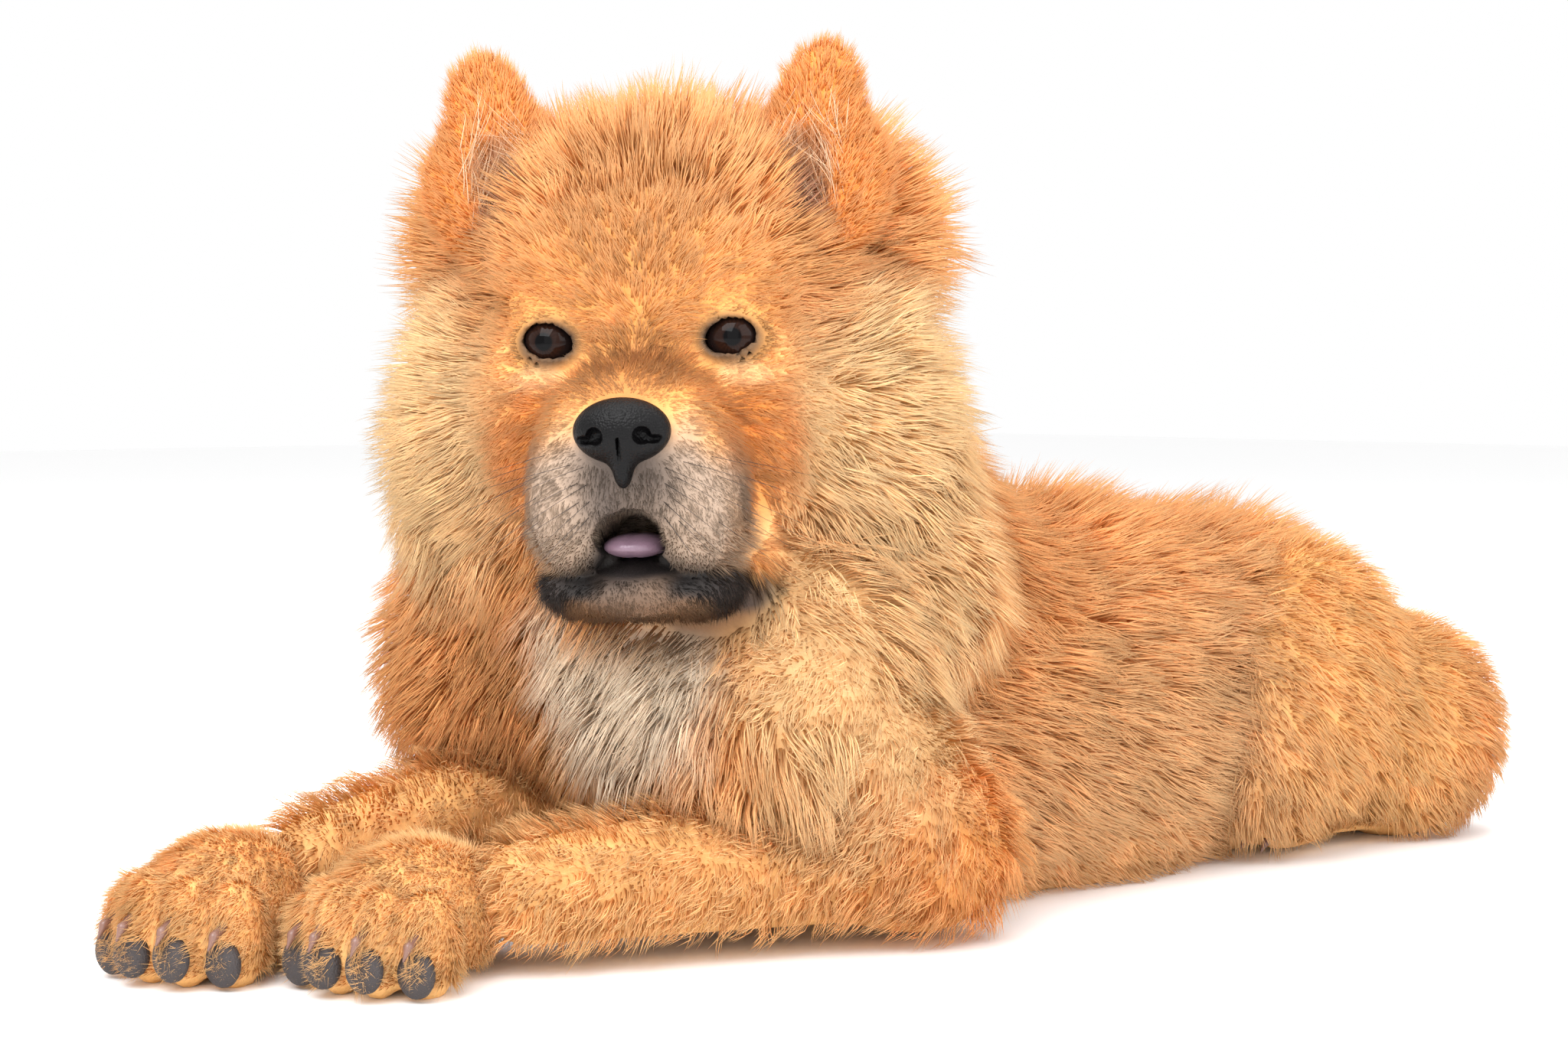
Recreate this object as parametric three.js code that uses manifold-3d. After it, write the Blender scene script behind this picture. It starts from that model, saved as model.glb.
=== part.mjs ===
// A chow chow puppy, life size, lying on its chest with its forelegs out in front and its head turned to its left.
// Millimetres. +Z is up, the muzzle end is -Y and +X is the animal's own left.
// The animal is laid out from the point on the floor midway between its elbows, and moved at the end so that
// the origin is the middle of the whole model's underside.
import * as THREE from "three";
import { mergeVertices } from "three/addons/utils/BufferGeometryUtils.js";
import Module from "manifold-3d";

const wasm = await Module();
wasm.setup();

// Driving dimensions

const GAP = 0.35; // free play between two nodes that touch
const SHORTEST = 0.1; // shortest edge that is kept after a cut
const THINNEST = 0.3; // least height of a face that the thinning out leaves
const THIN_ROUNDS = 4; // of thinning, each with the places held where the last one made two parts meet
const LEAST_CLASH = 0.001; // volume that two parts may share
const THIN_REACH = [2, 5, 10, 20, 40]; // edges up to these lengths are closed up in turn
const TURN = { thin: 0.7, close: 0.4 }; // least cosine between a face before and after an edge is closed
const SLACK = { coat: 0.8, bare: 0.3 }; // how far the thinning out may move a surface
const NEAR = 2.5; // how near another part a corner stays as it is
const NEAR_SEAM = 1.5; // and how near a seam
const NEAR_SORE = 12; // and how near a place where two parts would meet
const CLEAR = 1.6; // room that the locks of one node leave the next node
const APART = 0.08; // how far a corner that touches another is drawn back
const SEED = 20; // of the draws that vary the locks

const HEAD_AT = [8, -92, 215]; // middle of the skull
const HEAD_TURN = 43; // degrees, to the animal's left
const HEAD_TILT = -1.5; // degrees, the left ear lower
const HEAD_HALF_WIDTH = 103; // over the tips of the cheek fur
const EYE_APART = 60;
const EYE_R = 10;
const NOSE_WIDTH = 31;
const EAR_APART = 108;
const BACK_TOP = 155; // height of the coat over the withers
const FLANK_WIDTH = 156; // across the ribs
const FOREARM_R = 31;
const WRIST_R = 25;
const PAW_WIDTH = 58;
const PAW_HEIGHT = 45;

const DEPTH = { body: 14, leg: 8 }; // from the tips of the coat in to the core that carries its locks
const LOCK = {
  sunk: 5, // depth of the root below the core
  over: 3, // reach of the tip past the mean outline
  steps: 14, // along the line
  rings: [
    { step: 0, share: 0.6 },
    { step: 6, share: 1 },
    { step: 11, share: 0.62 },
  ],
  bend: 0.35, // turn to a side, in radians
  along: 0.76, // least distance between roots, as a share of the length
  across: 0.96, // and of the width
  lowest: 12, // height of the lowest root
  under: -0.6, // upward share of the surface's facing at which the underside is left bare
  bare: 0.4, // where the short hair of the face ends
  cross: 4, // depth in another part at which a lock is left out
  edge: 1.5, // share of the room for other locks that is added to each edge and to the ridge
  end: 3, // and to the tip
  tries: 2500,
};
const FACE = { at: [0, -58, -32], size: [50, 46, 58], fade: 30 }; // the short-haired face, in the head's frame

const COLOUR = {
  coat: 0xd9924a,
  cream: 0xe8c9a0,
  mask: 0x6b5648,
  leather: 0x1c1b1d,
  eye: 0x1a0f0b,
  tongue: 0x7d6672,
};

// Distance fields. Each mass is an ellipsoid or a tapered bar, and the masses of one part melt together.

const v3 = (a) => new THREE.Vector3(...a);

function ball(at, size, turn = 0) {
  const centre = v3(at);
  const radii = v3(Array.isArray(size) ? size : [size, size, size]);
  const c = Math.cos(THREE.MathUtils.degToRad(turn));
  const s = Math.sin(THREE.MathUtils.degToRad(turn));
  return (p) => {
    const dx = p.x - centre.x;
    const dy = p.y - centre.y;
    const x = (c * dx + s * dy) / radii.x;
    const y = (c * dy - s * dx) / radii.y;
    const z = (p.z - centre.z) / radii.z;
    const k = Math.hypot(x, y, z);
    const slope = Math.hypot(x / radii.x, y / radii.y, z / radii.z);
    return slope < 1e-9 ? -Math.min(radii.x, radii.y, radii.z) : (k * (k - 1)) / slope;
  };
}

function bar(from, to, r0, r1) {
  const a = v3(from);
  const along = v3(to).sub(a);
  const length2 = along.lengthSq();
  return (p) => {
    const x = p.x - a.x;
    const y = p.y - a.y;
    const z = p.z - a.z;
    const t = THREE.MathUtils.clamp((x * along.x + y * along.y + z * along.z) / length2, 0, 1);
    return Math.hypot(x - t * along.x, y - t * along.y, z - t * along.z) - (r0 + t * (r1 - r0));
  };
}

const melt2 = (a, b, k) => Math.min(a, b) - (Math.max(k - Math.abs(a - b), 0) ** 2 / k) * 0.25;
const melt = (masses, k) => (p) => masses.reduce((d, m) => melt2(d, m(p), k), 1e3);
const bothSides = (make) => [make(1), make(-1)];

// A field laid out in a turned frame, such as the head's
function placed(field, frame) {
  const back = frame.clone().invert();
  const q = new THREE.Vector3();
  return (p) => field(q.copy(p).applyMatrix4(back));
}

function slopeOf(field, p, out = new THREE.Vector3()) {
  const e = 0.5;
  const q = new THREE.Vector3();
  const along = (x, y, z) => field(q.set(p.x + x, p.y + y, p.z + z)) - field(q.set(p.x - x, p.y - y, p.z - z));
  return out.set(along(e, 0, 0), along(0, e, 0), along(0, 0, e)).divideScalar(2 * e);
}

function ontoLevel(field, p, level = 0) {
  const g = new THREE.Vector3();
  for (let i = 0; i < 3; i++) {
    slopeOf(field, p, g);
    p.addScaledVector(g, (level - field(p)) / Math.max(g.lengthSq(), 0.05));
  }
  return p;
}

// The surface where a field is zero, as a closed mesh with one vertex for each grid cell that it crosses, the
// same mesh pushed out by the gap, which hollows the parts that lie against it, and again by the room for locks

function planes(from, to, step) {
  const n = Math.max(1, Math.round((to - from) / step));
  return Array.from({ length: n + 1 }, (_, i) => from + ((to - from) * i) / n);
}

// Grid planes along one axis: [start, step, stop, step, stop ...]
function gridLine(start, ...runs) {
  const out = [start];
  for (let i = 0; i < runs.length; i += 2) {
    out.push(...planes(out[out.length - 1], runs[i + 1], runs[i]).slice(1));
  }
  return out;
}

function surface(field, [xs, ys, zs], frame) {
  const [nx, ny, nz] = [xs.length, ys.length, zs.length];
  const at = (i, j, k) => (k * ny + j) * nx + i;
  const value = new Float64Array(nx * ny * nz);
  const p = new THREE.Vector3();
  for (let k = 0; k < nz; k++) {
    for (let j = 0; j < ny; j++) {
      for (let i = 0; i < nx; i++) value[at(i, j, k)] = field(p.set(xs[i], ys[j], zs[k]));
    }
  }
  const steps = [1, nx, nx * ny];
  const cell = new Map();
  const points = [];
  const grown = [];
  const cleared = [];
  const slope = new THREE.Vector3();
  for (let k = 0; k < nz - 1; k++) {
    for (let j = 0; j < ny - 1; j++) {
      for (let i = 0; i < nx - 1; i++) {
        const sum = new THREE.Vector3();
        let crossings = 0;
        for (let c = 0; c < 8; c++) {
          const a = [i + (c & 1), j + ((c >> 1) & 1), k + (c >> 2)];
          for (let axis = 0; axis < 3; axis++) {
            if ((c >> axis) & 1) continue;
            const b = a.slice();
            b[axis] += 1;
            const va = value[at(...a)];
            const vb = value[at(...b)];
            if (va < 0 === vb < 0) continue;
            const t = va / (va - vb);
            sum.x += xs[a[0]] + t * (xs[b[0]] - xs[a[0]]);
            sum.y += ys[a[1]] + t * (ys[b[1]] - ys[a[1]]);
            sum.z += zs[a[2]] + t * (zs[b[2]] - zs[a[2]]);
            crossings += 1;
          }
        }
        if (!crossings) continue;
        cell.set(at(i, j, k), points.length);
        ontoLevel(field, sum.divideScalar(crossings));
        slopeOf(field, sum, slope).normalize();
        points.push(sum.clone().applyMatrix4(frame));
        grown.push(sum.clone().addScaledVector(slope, GAP).applyMatrix4(frame));
        cleared.push(sum.clone().addScaledVector(slope, CLEAR).applyMatrix4(frame));
      }
    }
  }
  const index = [];
  for (let axis = 0; axis < 3; axis++) {
    const u = steps[(axis + 1) % 3];
    const v = steps[(axis + 2) % 3];
    for (let n = 0; n < value.length - steps[axis]; n++) {
      const inside = value[n] < 0;
      if (inside === value[n + steps[axis]] < 0) continue;
      const ring = [n, n - u, n - u - v, n - v].map((c) => cell.get(c));
      if (ring.includes(undefined)) continue;
      if (inside) ring.reverse();
      const [a, b, c, d] = ring;
      const cutAC = points[a].distanceTo(points[c]) <= points[b].distanceTo(points[d]);
      index.push(...(cutAC ? [a, c, b, a, d, c] : [a, d, b, b, d, c]));
    }
  }
  return { core: solid(points, index), grown: solid(grown, index), cleared: solid(cleared, index) };
}

function solid(points, index) {
  return new wasm.Manifold(
    new wasm.Mesh({
      numProp: 3,
      vertProperties: new Float32Array(points.flatMap((p) => p.toArray())),
      triVerts: new Uint32Array(index),
    }),
  );
}

// Any closed three.js geometry as a solid, placed by a matrix
function solidFrom(geometry, matrix = new THREE.Matrix4()) {
  const g = geometry.index ? geometry.toNonIndexed() : geometry.clone();
  for (const name of Object.keys(g.attributes)) if (name !== "position") g.deleteAttribute(name);
  const merged = mergeVertices(g.applyMatrix4(matrix), 1e-4);
  const at = merged.attributes.position;
  const points = Array.from({ length: at.count }, (_, i) => new THREE.Vector3().fromBufferAttribute(at, i));
  return solid(points, merged.index.array);
}

const join = (list) => list.reduce((a, b) => a.add(b));
const largest = (s) => s.decompose().sort((a, b) => b.volume() - a.volume())[0];

// Thins out a mesh. Edges shorter than a least length are closed up, and so is any edge whose loss moves the
// surface by less than the slack there, where the surface stays closed and no face turns over. Corners that
// touch by chance are drawn apart.

function faceNormal(corners) {
  const [a, b, c] = corners;
  return b.clone().sub(a).cross(c.clone().sub(a));
}

function heightOf(corners) {
  const longest = Math.max(...corners.map((c, n) => c.distanceTo(corners[(n + 1) % 3])));
  return faceNormal(corners).length() / longest;
}

function closeUp(shape, slackAt) {
  const mesh = shape.getMesh();
  const points = [];
  for (let i = 0; i < mesh.vertProperties.length; i += 3) {
    points.push(new THREE.Vector3().fromArray(mesh.vertProperties, i));
  }
  const faces = [];
  for (let i = 0; i < mesh.triVerts.length; i += 3) faces.push([...mesh.triVerts.subarray(i, i + 3)]);
  const facesAt = points.map(() => new Set());
  faces.forEach((face, i) => face.forEach((v) => facesAt[v].add(i)));
  const moved = points.map(() => 0);
  const slack = points.map(slackAt);
  const neighbours = (v) => new Set([...facesAt[v]].flatMap((i) => faces[i]).filter((n) => n !== v));
  const pulled = (keep, drop) => [...facesAt[drop]].filter((i) => !faces[i].includes(keep));
  const turnsOver = (i, from, to, least) => {
    const before = faceNormal(faces[i].map((v) => points[v]));
    const after = faceNormal(faces[i].map((v) => points[v === from ? to : v]));
    return before.length() > 1e-6 && before.normalize().dot(after.normalize()) < least;
  };
  // How far the surface moves when one corner is dropped onto another, or infinity where a face gets too thin
  const shiftOf = (keep, drop) => {
    let far = 0;
    for (const i of pulled(keep, drop)) {
      const corners = faces[i].map((v) => points[v === drop ? keep : v]);
      const normal = faceNormal(corners);
      const height = heightOf(corners);
      if (height < THINNEST && height < heightOf(faces[i].map((v) => points[v]))) return Infinity;
      far = Math.max(far, Math.abs(normal.normalize().dot(points[drop].clone().sub(corners[0]))));
    }
    return far;
  };
  const collapse = (keep, drop, least) => {
    const shared = [...neighbours(keep)].filter((v) => neighbours(drop).has(v));
    if (shared.length !== 2) return false;
    if (pulled(keep, drop).some((i) => turnsOver(i, drop, keep, least))) return false;
    for (const i of facesAt[drop]) {
      if (faces[i].includes(keep)) {
        faces[i].forEach((v) => v !== drop && facesAt[v].delete(i));
        faces[i] = null;
      } else {
        faces[i] = faces[i].map((v) => (v === drop ? keep : v));
        facesAt[keep].add(i);
      }
    }
    facesAt[drop].clear();
    return true;
  };
  const thin = (keep, drop) => {
    if (!slack[drop]) return false;
    const shift = moved[drop] + shiftOf(keep, drop);
    if (shift > slack[drop] || !collapse(keep, drop, TURN.thin)) return false;
    moved[keep] = Math.max(moved[keep], shift);
    return true;
  };
  const eachEdge = (act) => {
    for (let i = 0; i < faces.length; i++) {
      for (let e = 0; faces[i] && e < 3; e++) act(faces[i][e], faces[i][(e + 1) % 3]);
    }
  };
  const apart = (a, b) => points[a].distanceTo(points[b]);
  for (const reach of THIN_REACH) eachEdge((a, b) => apart(a, b) < reach && (thin(a, b) || thin(b, a)));
  eachEdge((a, b) => apart(a, b) < SHORTEST && (collapse(a, b, TURN.close) || collapse(b, a, TURN.close)));
  const kept = faces.filter(Boolean);
  const used = [...new Set(kept.flat())];
  const taken = new Set();
  const spot = (v) => points[v].toArray().map((c) => c.toFixed(2)).join();
  for (const v of used) {
    const ring = [...neighbours(v)];
    if (taken.has(spot(v))) {
      const mean = ring.reduce((sum, n) => sum.add(points[n]), new THREE.Vector3()).divideScalar(ring.length);
      points[v].add(mean.sub(points[v]).setLength(APART));
    }
    taken.add(spot(v));
  }
  const place = new Map(used.map((v, i) => [v, i]));
  return solid(used.map((v) => points[v]), kept.flat().map((v) => place.get(v)));
}

// Frames

const turnZ = (degrees) => new THREE.Matrix4().makeRotationZ(THREE.MathUtils.degToRad(degrees));
const turnY = (degrees) => new THREE.Matrix4().makeRotationY(THREE.MathUtils.degToRad(degrees));
const turnX = (degrees) => new THREE.Matrix4().makeRotationX(THREE.MathUtils.degToRad(degrees));
const moveTo = (x, y, z) => new THREE.Matrix4().makeTranslation(x, y, z);

const headFrame = moveTo(...HEAD_AT).multiply(turnZ(HEAD_TURN)).multiply(turnY(HEAD_TILT));

// The masses of each part, out to the tips of its coat. Those of the head, ears and paws are laid out in
// frames of their own, the others from the floor.

const headField = melt(
  [
    ball([0, 6, 16], [72, 58, 65]), // crown
    ball([0, -18, 20], [50, 34, 42]), // forehead
    ...bothSides((s) => ball([s * 26, -28, 16], [23, 18, 16])), // brows
    ...bothSides((s) => ball([s * (HEAD_HALF_WIDTH - 46), 32, 26], [46, 36, 50])), // fur behind the ears
    ...bothSides((s) => ball([s * (HEAD_HALF_WIDTH - 52), 14, -34], [52, 52, 60])), // cheeks
    ...bothSides((s) => ball([s * 34, -20, -30], [30, 26, 30])), // under the eyes
    ball([0, -44, -37], [29, 38, 22]), // bridge of the muzzle
    ...bothSides((s) => ball([s * 18, -58, -60], [18, 22, 27])), // flews
  ],
  14,
);
const MOUTH = { at: [0, -68, -72], size: [13, 26, 10] };

const jawField = melt(
  [
    ball([0, -50, -90], [28, 30, 13]), // chin
    ...bothSides((s) => ball([s * 21, -42, -88], [17, 26, 14])), // lips
  ],
  8,
);
const NOSE_AT = [0, -80, -38];
const noseField = melt(
  [
    ball(NOSE_AT, [NOSE_WIDTH / 2, 9, 10.5]),
    ball([0, -79, -50], [5, 6, 8]), // strip down to the lip
  ],
  4,
);
const NOSTRIL = { across: 7.5, ahead: -89, up: -39, size: [3.4, 5, 3.2] };
const TONGUE_AT = [0, -59, -75];
const tongueField = ball(TONGUE_AT, [10.5, 18, 4]);

const EYE_AT = [EYE_APART / 2, -39, -9];
const LID = { wide: 9.4, high: 7, thick: 2, ahead: 6.5 };

const earFrame = (side) =>
  headFrame
    .clone()
    .multiply(moveTo((side * EAR_APART) / 2, -4, 53))
    .multiply(turnZ(side * -10))
    .multiply(turnY(side * 10));
const earField = melt([ball([0, 2, -10], [29, 14, 30]), ball([0, 0, 18], [15, 9, 20])], 10);
const EAR_CUP = { at: [0, -14, -1], size: [14, 11, 26] };

const neckField = melt(
  [
    placed(ball([0, 22, -58], [106, 58, 84]), headFrame), // collar round the head
    ball([-2, -66, 84], [86, 66, 72]), // bib
    ball([-70, -104, 92], [50, 54, 64]), // right side of the ruff
    ball([56, -68, 92], [46, 50, 58]), // left side of the ruff
    ball([12, -22, 122], [84, 50, 60]), // over the shoulders
    bar([-14, -46, 174], [0, 36, 92], 72, 66), // nape
  ],
  22,
);

const torsoField = melt(
  [
    bar([0, -20, 60], [0, 108, 58], 72, FLANK_WIDTH / 2 - 4), // belly and ribs
    bar([0, 108, 58], [0, 250, 56], FLANK_WIDTH / 2 - 4, 64),
    bar([0, 40, 84], [0, 112, BACK_TOP - 68], 66, 66), // withers
    bar([0, 112, BACK_TOP - 68], [0, 166, 80], 66, 65),
    bar([0, 166, 80], [2, 212, 80], 65, 64), // loin and hips
    ball([2, 258, 52], [60, 58, 58]), // rump
  ],
  12,
);

// Each foreleg: shoulder, elbow, wrist and the way its paw points
const FORELEG = {
  left: { shoulder: [54, -72, 94], elbow: [64, -24, 33], wrist: [17, -154, 25], paw: [4, -196], turn: 26 },
  right: { shoulder: [-58, -88, 92], elbow: [-62, -66, 46], wrist: [-53, -192, 29], paw: [-48, -235], turn: 26 },
};
const forelegField = ({ shoulder, elbow, wrist }) =>
  melt([bar(shoulder, elbow, 42, FOREARM_R + 6), bar(elbow, wrist, FOREARM_R + 3, WRIST_R)], 14);

const pawFrame = ({ paw, turn }) => moveTo(paw[0], paw[1], 0).multiply(turnZ(turn));
// Toes from the inner to the outer: sideways place, forward place, height of the toe's middle
const TOE_R = 10.5;
const TOES = [
  { across: -19.5, ahead: -13, up: 15 },
  { across: -7, ahead: -21, up: 17 },
  { across: 7, ahead: -21, up: 17 },
  { across: 19.5, ahead: -13, up: 15 },
];
const pawField = melt(
  [
    ball([0, 8, PAW_HEIGHT / 2 - 3], [PAW_WIDTH / 2 - 1, 34, PAW_HEIGHT / 2 + 3]),
    ...TOES.map((t) => ball([t.across, t.ahead, t.up], [TOE_R, TOE_R + 3, TOE_R + 9])),
  ],
  5,
);
const PAD = [7.2, 4, 8.4];
const CLAW = { r: 2, length: 9 };

// Each hind leg: the thigh against the flank and the foot that lies forward under it
const HINDLEG = {
  left: { thigh: [42, 212, 66], knee: [50, 178, 50], seat: [46, 270, 44], heel: [54, 270, 18], toe: [46, 196, 15] },
  right: { thigh: [-42, 212, 66], knee: [-54, 178, 50], seat: [-42, 266, 46], heel: [-66, 262, 18], toe: [-78, 172, 15] },
};
const thighField = ({ thigh, knee, seat }) =>
  melt([ball(thigh, [44, 58, 66]), ball(knee, [34, 40, 50]), ball(seat, [48, 54, 54])], 18);
const hindFootField = ({ heel, toe }) => melt([bar(heel, toe, 18, 14), ball(toe, [21, 27, 16])], 10);

// The tail is set high and lies over on the far flank
const TAIL_R = 24;
const TAIL_PATH = new THREE.CatmullRomCurve3(
  [[-14, 266, 96], [-42, 276, 110], [-68, 256, 108], [-84, 220, 92], [-92, 184, 74]].map(v3),
);
const TAIL_STEPS = 7;
const tailRadius = (t) => TAIL_R * (0.62 + 0.38 * Math.sin(Math.PI * t));
const tailField = melt(
  Array.from({ length: TAIL_STEPS }, (_, i) => {
    const from = i / TAIL_STEPS;
    const to = (i + 1) / TAIL_STEPS;
    const ends = [from, to].map((t) => TAIL_PATH.getPoint(t).toArray());
    return bar(...ends, tailRadius(from), tailRadius(to));
  }),
  8,
);

// Grids on which the parts are meshed, finer where the face is

const boxGrid = (low, high, step) => low.map((l, i) => planes(l - step, high[i] + step, step));
const around = (places, reach, step) =>
  boxGrid(
    [0, 1, 2].map((i) => Math.min(...places.map((p) => p[i])) - reach),
    [0, 1, 2].map((i) => Math.max(...places.map((p) => p[i])) + reach),
    step,
  );
const headGrid = [
  gridLine(-148, 17, -46, 9, 46, 17, 165),
  gridLine(-117, 9, -36, 17, 151),
  gridLine(-200, 17, -98, 9, 1, 17, 103),
];

// Head, neck and torso are one mass, parted by two flat seams: a place on each and the way it faces

const wholeField = melt([placed(headField, headFrame), neckField, torsoField], 18);
const wholeInHead = placed(wholeField, headFrame.clone().invert());
const headPoint = (x, y, z) => new THREE.Vector3(x, y, z).applyMatrix4(headFrame).toArray();
const headWay = (x, y, z) => new THREE.Vector3(x, y, z).transformDirection(headFrame).toArray();
const SEAM = {
  throat: { place: headPoint(0, -20, -114), facing: headWay(0, 0.62, -0.78) },
  withers: { place: [0, 48, 100], facing: [0, 0.95, -0.3] },
};
const SPARE = 36; // length that a mass runs on past its seam before the cut

// How far the core of each part lies inside the tips of its coat: nothing on the face, less near the floor

const smooth = THREE.MathUtils.smoothstep;
const faceBall = placed(ball(FACE.at, FACE.size), headFrame);
const offFace = (p) => smooth(faceBall(p), 0, FACE.fade);
const offFloor = (p) => 0.25 + 0.75 * smooth(p.z, 4, 40);
const bodyDepth = (p) => DEPTH.body * offFace(p) * offFloor(p);
const inHead = (field) => placed(field, headFrame.clone().invert());
const legDepth = (p) => DEPTH.leg * offFloor(p);
const tailDepth = () => DEPTH.leg;
const deeper = (field, depth) => (p) => field(p) + depth(p);

const FAR = 1000;
function beyond({ place, facing }, turned = 1, gap = 0) {
  const way = v3(facing).multiplyScalar(turned).normalize();
  const turn = new THREE.Matrix4().makeRotationFromQuaternion(
    new THREE.Quaternion().setFromUnitVectors(new THREE.Vector3(0, 0, 1), way),
  );
  const middle = v3(place).addScaledVector(way, FAR / 2 - gap);
  return solidFrom(new THREE.BoxGeometry(2 * FAR, 2 * FAR, FAR), moveTo(...middle).multiply(turn));
}
const pastSeam = ({ place, facing }) => {
  const way = v3(facing).normalize();
  const from = v3(place);
  return (p) => (p.x - from.x) * way.x + (p.y - from.y) * way.y + (p.z - from.z) * way.z;
};
const pastThroat = pastSeam(SEAM.throat);
const pastWithers = pastSeam(SEAM.withers);
const throatInHead = inHead(pastThroat);
const depthInHead = inHead(bodyDepth);

// The coat: locks of a length and width, set a share of these apart, and the way that they lie on each part

const DOWN = new THREE.Vector3(0, 0, -0.35);
const headMiddle = v3(headPoint(0, -66, -14));
const awayFromFace = (p) => p.clone().sub(headMiddle).normalize();
const alongTail = (p) => {
  const steps = TAIL_PATH.getPoints(2 * TAIL_STEPS);
  const nearest = steps.reduce((best, q, i) => (q.distanceTo(p) < steps[best].distanceTo(p) ? i : best), 0);
  return TAIL_PATH.getTangent(nearest / (2 * TAIL_STEPS));
};
const COAT = {
  head: {
    long: 52,
    wide: 34,
    thick: 5,
    depth: bodyDepth,
    lie: (p) => awayFromFace(p).addScaledVector(DOWN, 0.4),
  },
  neck: { long: 70, wide: 44, thick: 6, depth: bodyDepth, lie: (p) => awayFromFace(p).add(DOWN) },
  torso: { long: 70, wide: 44, thick: 6, depth: bodyDepth, lie: () => new THREE.Vector3(0, 1, -0.35) },
  thigh: { long: 66, wide: 44, thick: 6, depth: bodyDepth, lie: () => new THREE.Vector3(0, 0.7, -0.75) },
  tail: { long: 60, wide: 34, thick: 5, depth: tailDepth, lie: alongTail },
  foreleg: { long: 36, wide: 30, thick: 5, depth: legDepth },
};

// Parts in the order in which each keeps its own shape and hollows the ones after it

const floor = new THREE.Matrix4();
const PARTS = [
  { name: "nose", frame: headFrame, field: noseField, grid: around([NOSE_AT], 21, 4.5), colour: COLOUR.leather },
  { name: "tongue", frame: headFrame, field: tongueField, grid: around([TONGUE_AT], 20, 5), colour: COLOUR.tongue },
  {
    name: "lower_jaw",
    frame: headFrame,
    field: jawField,
    grid: boxGrid([-40, -82, -106], [40, -12, -72], 8),
    colour: COLOUR.mask,
  },
  ...bothSides((s) => ({
    name: s > 0 ? "ear_left" : "ear_right",
    frame: earFrame(s),
    field: earField,
    grid: boxGrid([-28, -16, -40], [28, 18, 40], 7),
    colour: COLOUR.coat,
  })),
  {
    name: "head",
    frame: headFrame,
    field: (p) => Math.max(wholeInHead(p) + depthInHead(p), throatInHead(p) - SPARE),
    grid: headGrid,
    colour: COLOUR.coat,
    cuts: [beyond(SEAM.throat)],
    coat: COAT.head,
  },
  ...Object.entries(FORELEG).map(([name, leg]) => ({
    name: "paw_front_" + name,
    frame: pawFrame(leg),
    field: pawField,
    grid: boxGrid([-30, -34, -4], [30, 42, 48], 8),
    colour: COLOUR.coat,
  })),
  ...Object.entries(FORELEG).map(([name, leg]) => ({
    name: "foreleg_" + name,
    frame: floor,
    field: deeper(forelegField(leg), legDepth),
    grid: around([leg.shoulder, leg.elbow, leg.wrist], 42, 15),
    colour: COLOUR.coat,
    coat: { ...COAT.foreleg, lie: () => v3(leg.wrist).sub(v3(leg.elbow)).normalize().add(DOWN) },
  })),
  {
    name: "neck",
    frame: floor,
    field: (p) => Math.max(wholeField(p) + bodyDepth(p), -pastThroat(p) - SPARE, pastWithers(p) - SPARE),
    grid: boxGrid([-126, -172, -14], [112, 112, 216], 20),
    colour: COLOUR.cream,
    cuts: [beyond(SEAM.throat, -1, GAP), beyond(SEAM.withers)],
    coat: COAT.neck,
  },
  ...Object.entries(HINDLEG).map(([name, leg]) => ({
    name: "hind_foot_" + name,
    frame: floor,
    field: hindFootField(leg),
    grid: around([leg.heel, leg.toe], 28, 13),
    colour: COLOUR.coat,
  })),
  ...Object.entries(HINDLEG).map(([name, leg]) => ({
    name: "thigh_" + name,
    frame: floor,
    field: deeper(thighField(leg), bodyDepth),
    grid: around([leg.thigh, leg.knee, leg.seat], 68, 19),
    colour: COLOUR.coat,
    cuts: [beyond({ place: [Math.sign(leg.thigh[0]) * 18, 0, 0], facing: [-Math.sign(leg.thigh[0]), 0, 0] })],
    coat: COAT.thigh,
  })),
  {
    name: "tail",
    frame: floor,
    field: deeper(tailField, tailDepth),
    grid: around(TAIL_PATH.getPoints(4).map((p) => p.toArray()), 26, 13),
    colour: COLOUR.cream,
    coat: COAT.tail,
  },
  {
    name: "torso",
    frame: floor,
    field: (p) => Math.max(wholeField(p) + bodyDepth(p), -pastWithers(p) - SPARE),
    grid: boxGrid([-92, -16, -16], [92, 322, 176], 20),
    colour: COLOUR.coat,
    cuts: [beyond(SEAM.withers, -1, GAP)],
    coat: COAT.torso,
  },
];

const floorSlab = beyond({ place: [0, 0, 0], facing: [0, 0, -1] });
const root = new THREE.Group();
const made = PARTS.map((part) => {
  const { core, grown, cleared } = surface(part.field, part.grid, part.frame);
  const trim = (shape) => (part.cuts ?? []).reduce((a, cut) => a.subtract(cut), shape);
  const flesh = placed(part.field, part.frame);
  return { ...part, core: trim(core), grown: trim(grown), cleared: trim(cleared), flesh };
});

// The locks. Each starts below the core, follows the lie of the coat, rises to the outline and bends to a side.

const coatField = melt(
  [wholeField, ...Object.values(FORELEG).map(forelegField), ...Object.values(HINDLEG).map(thighField), tailField],
  6,
);
THREE.MathUtils.seededRandom(SEED);
const between = (low, high) => low + (high - low) * THREE.MathUtils.seededRandom();

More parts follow.
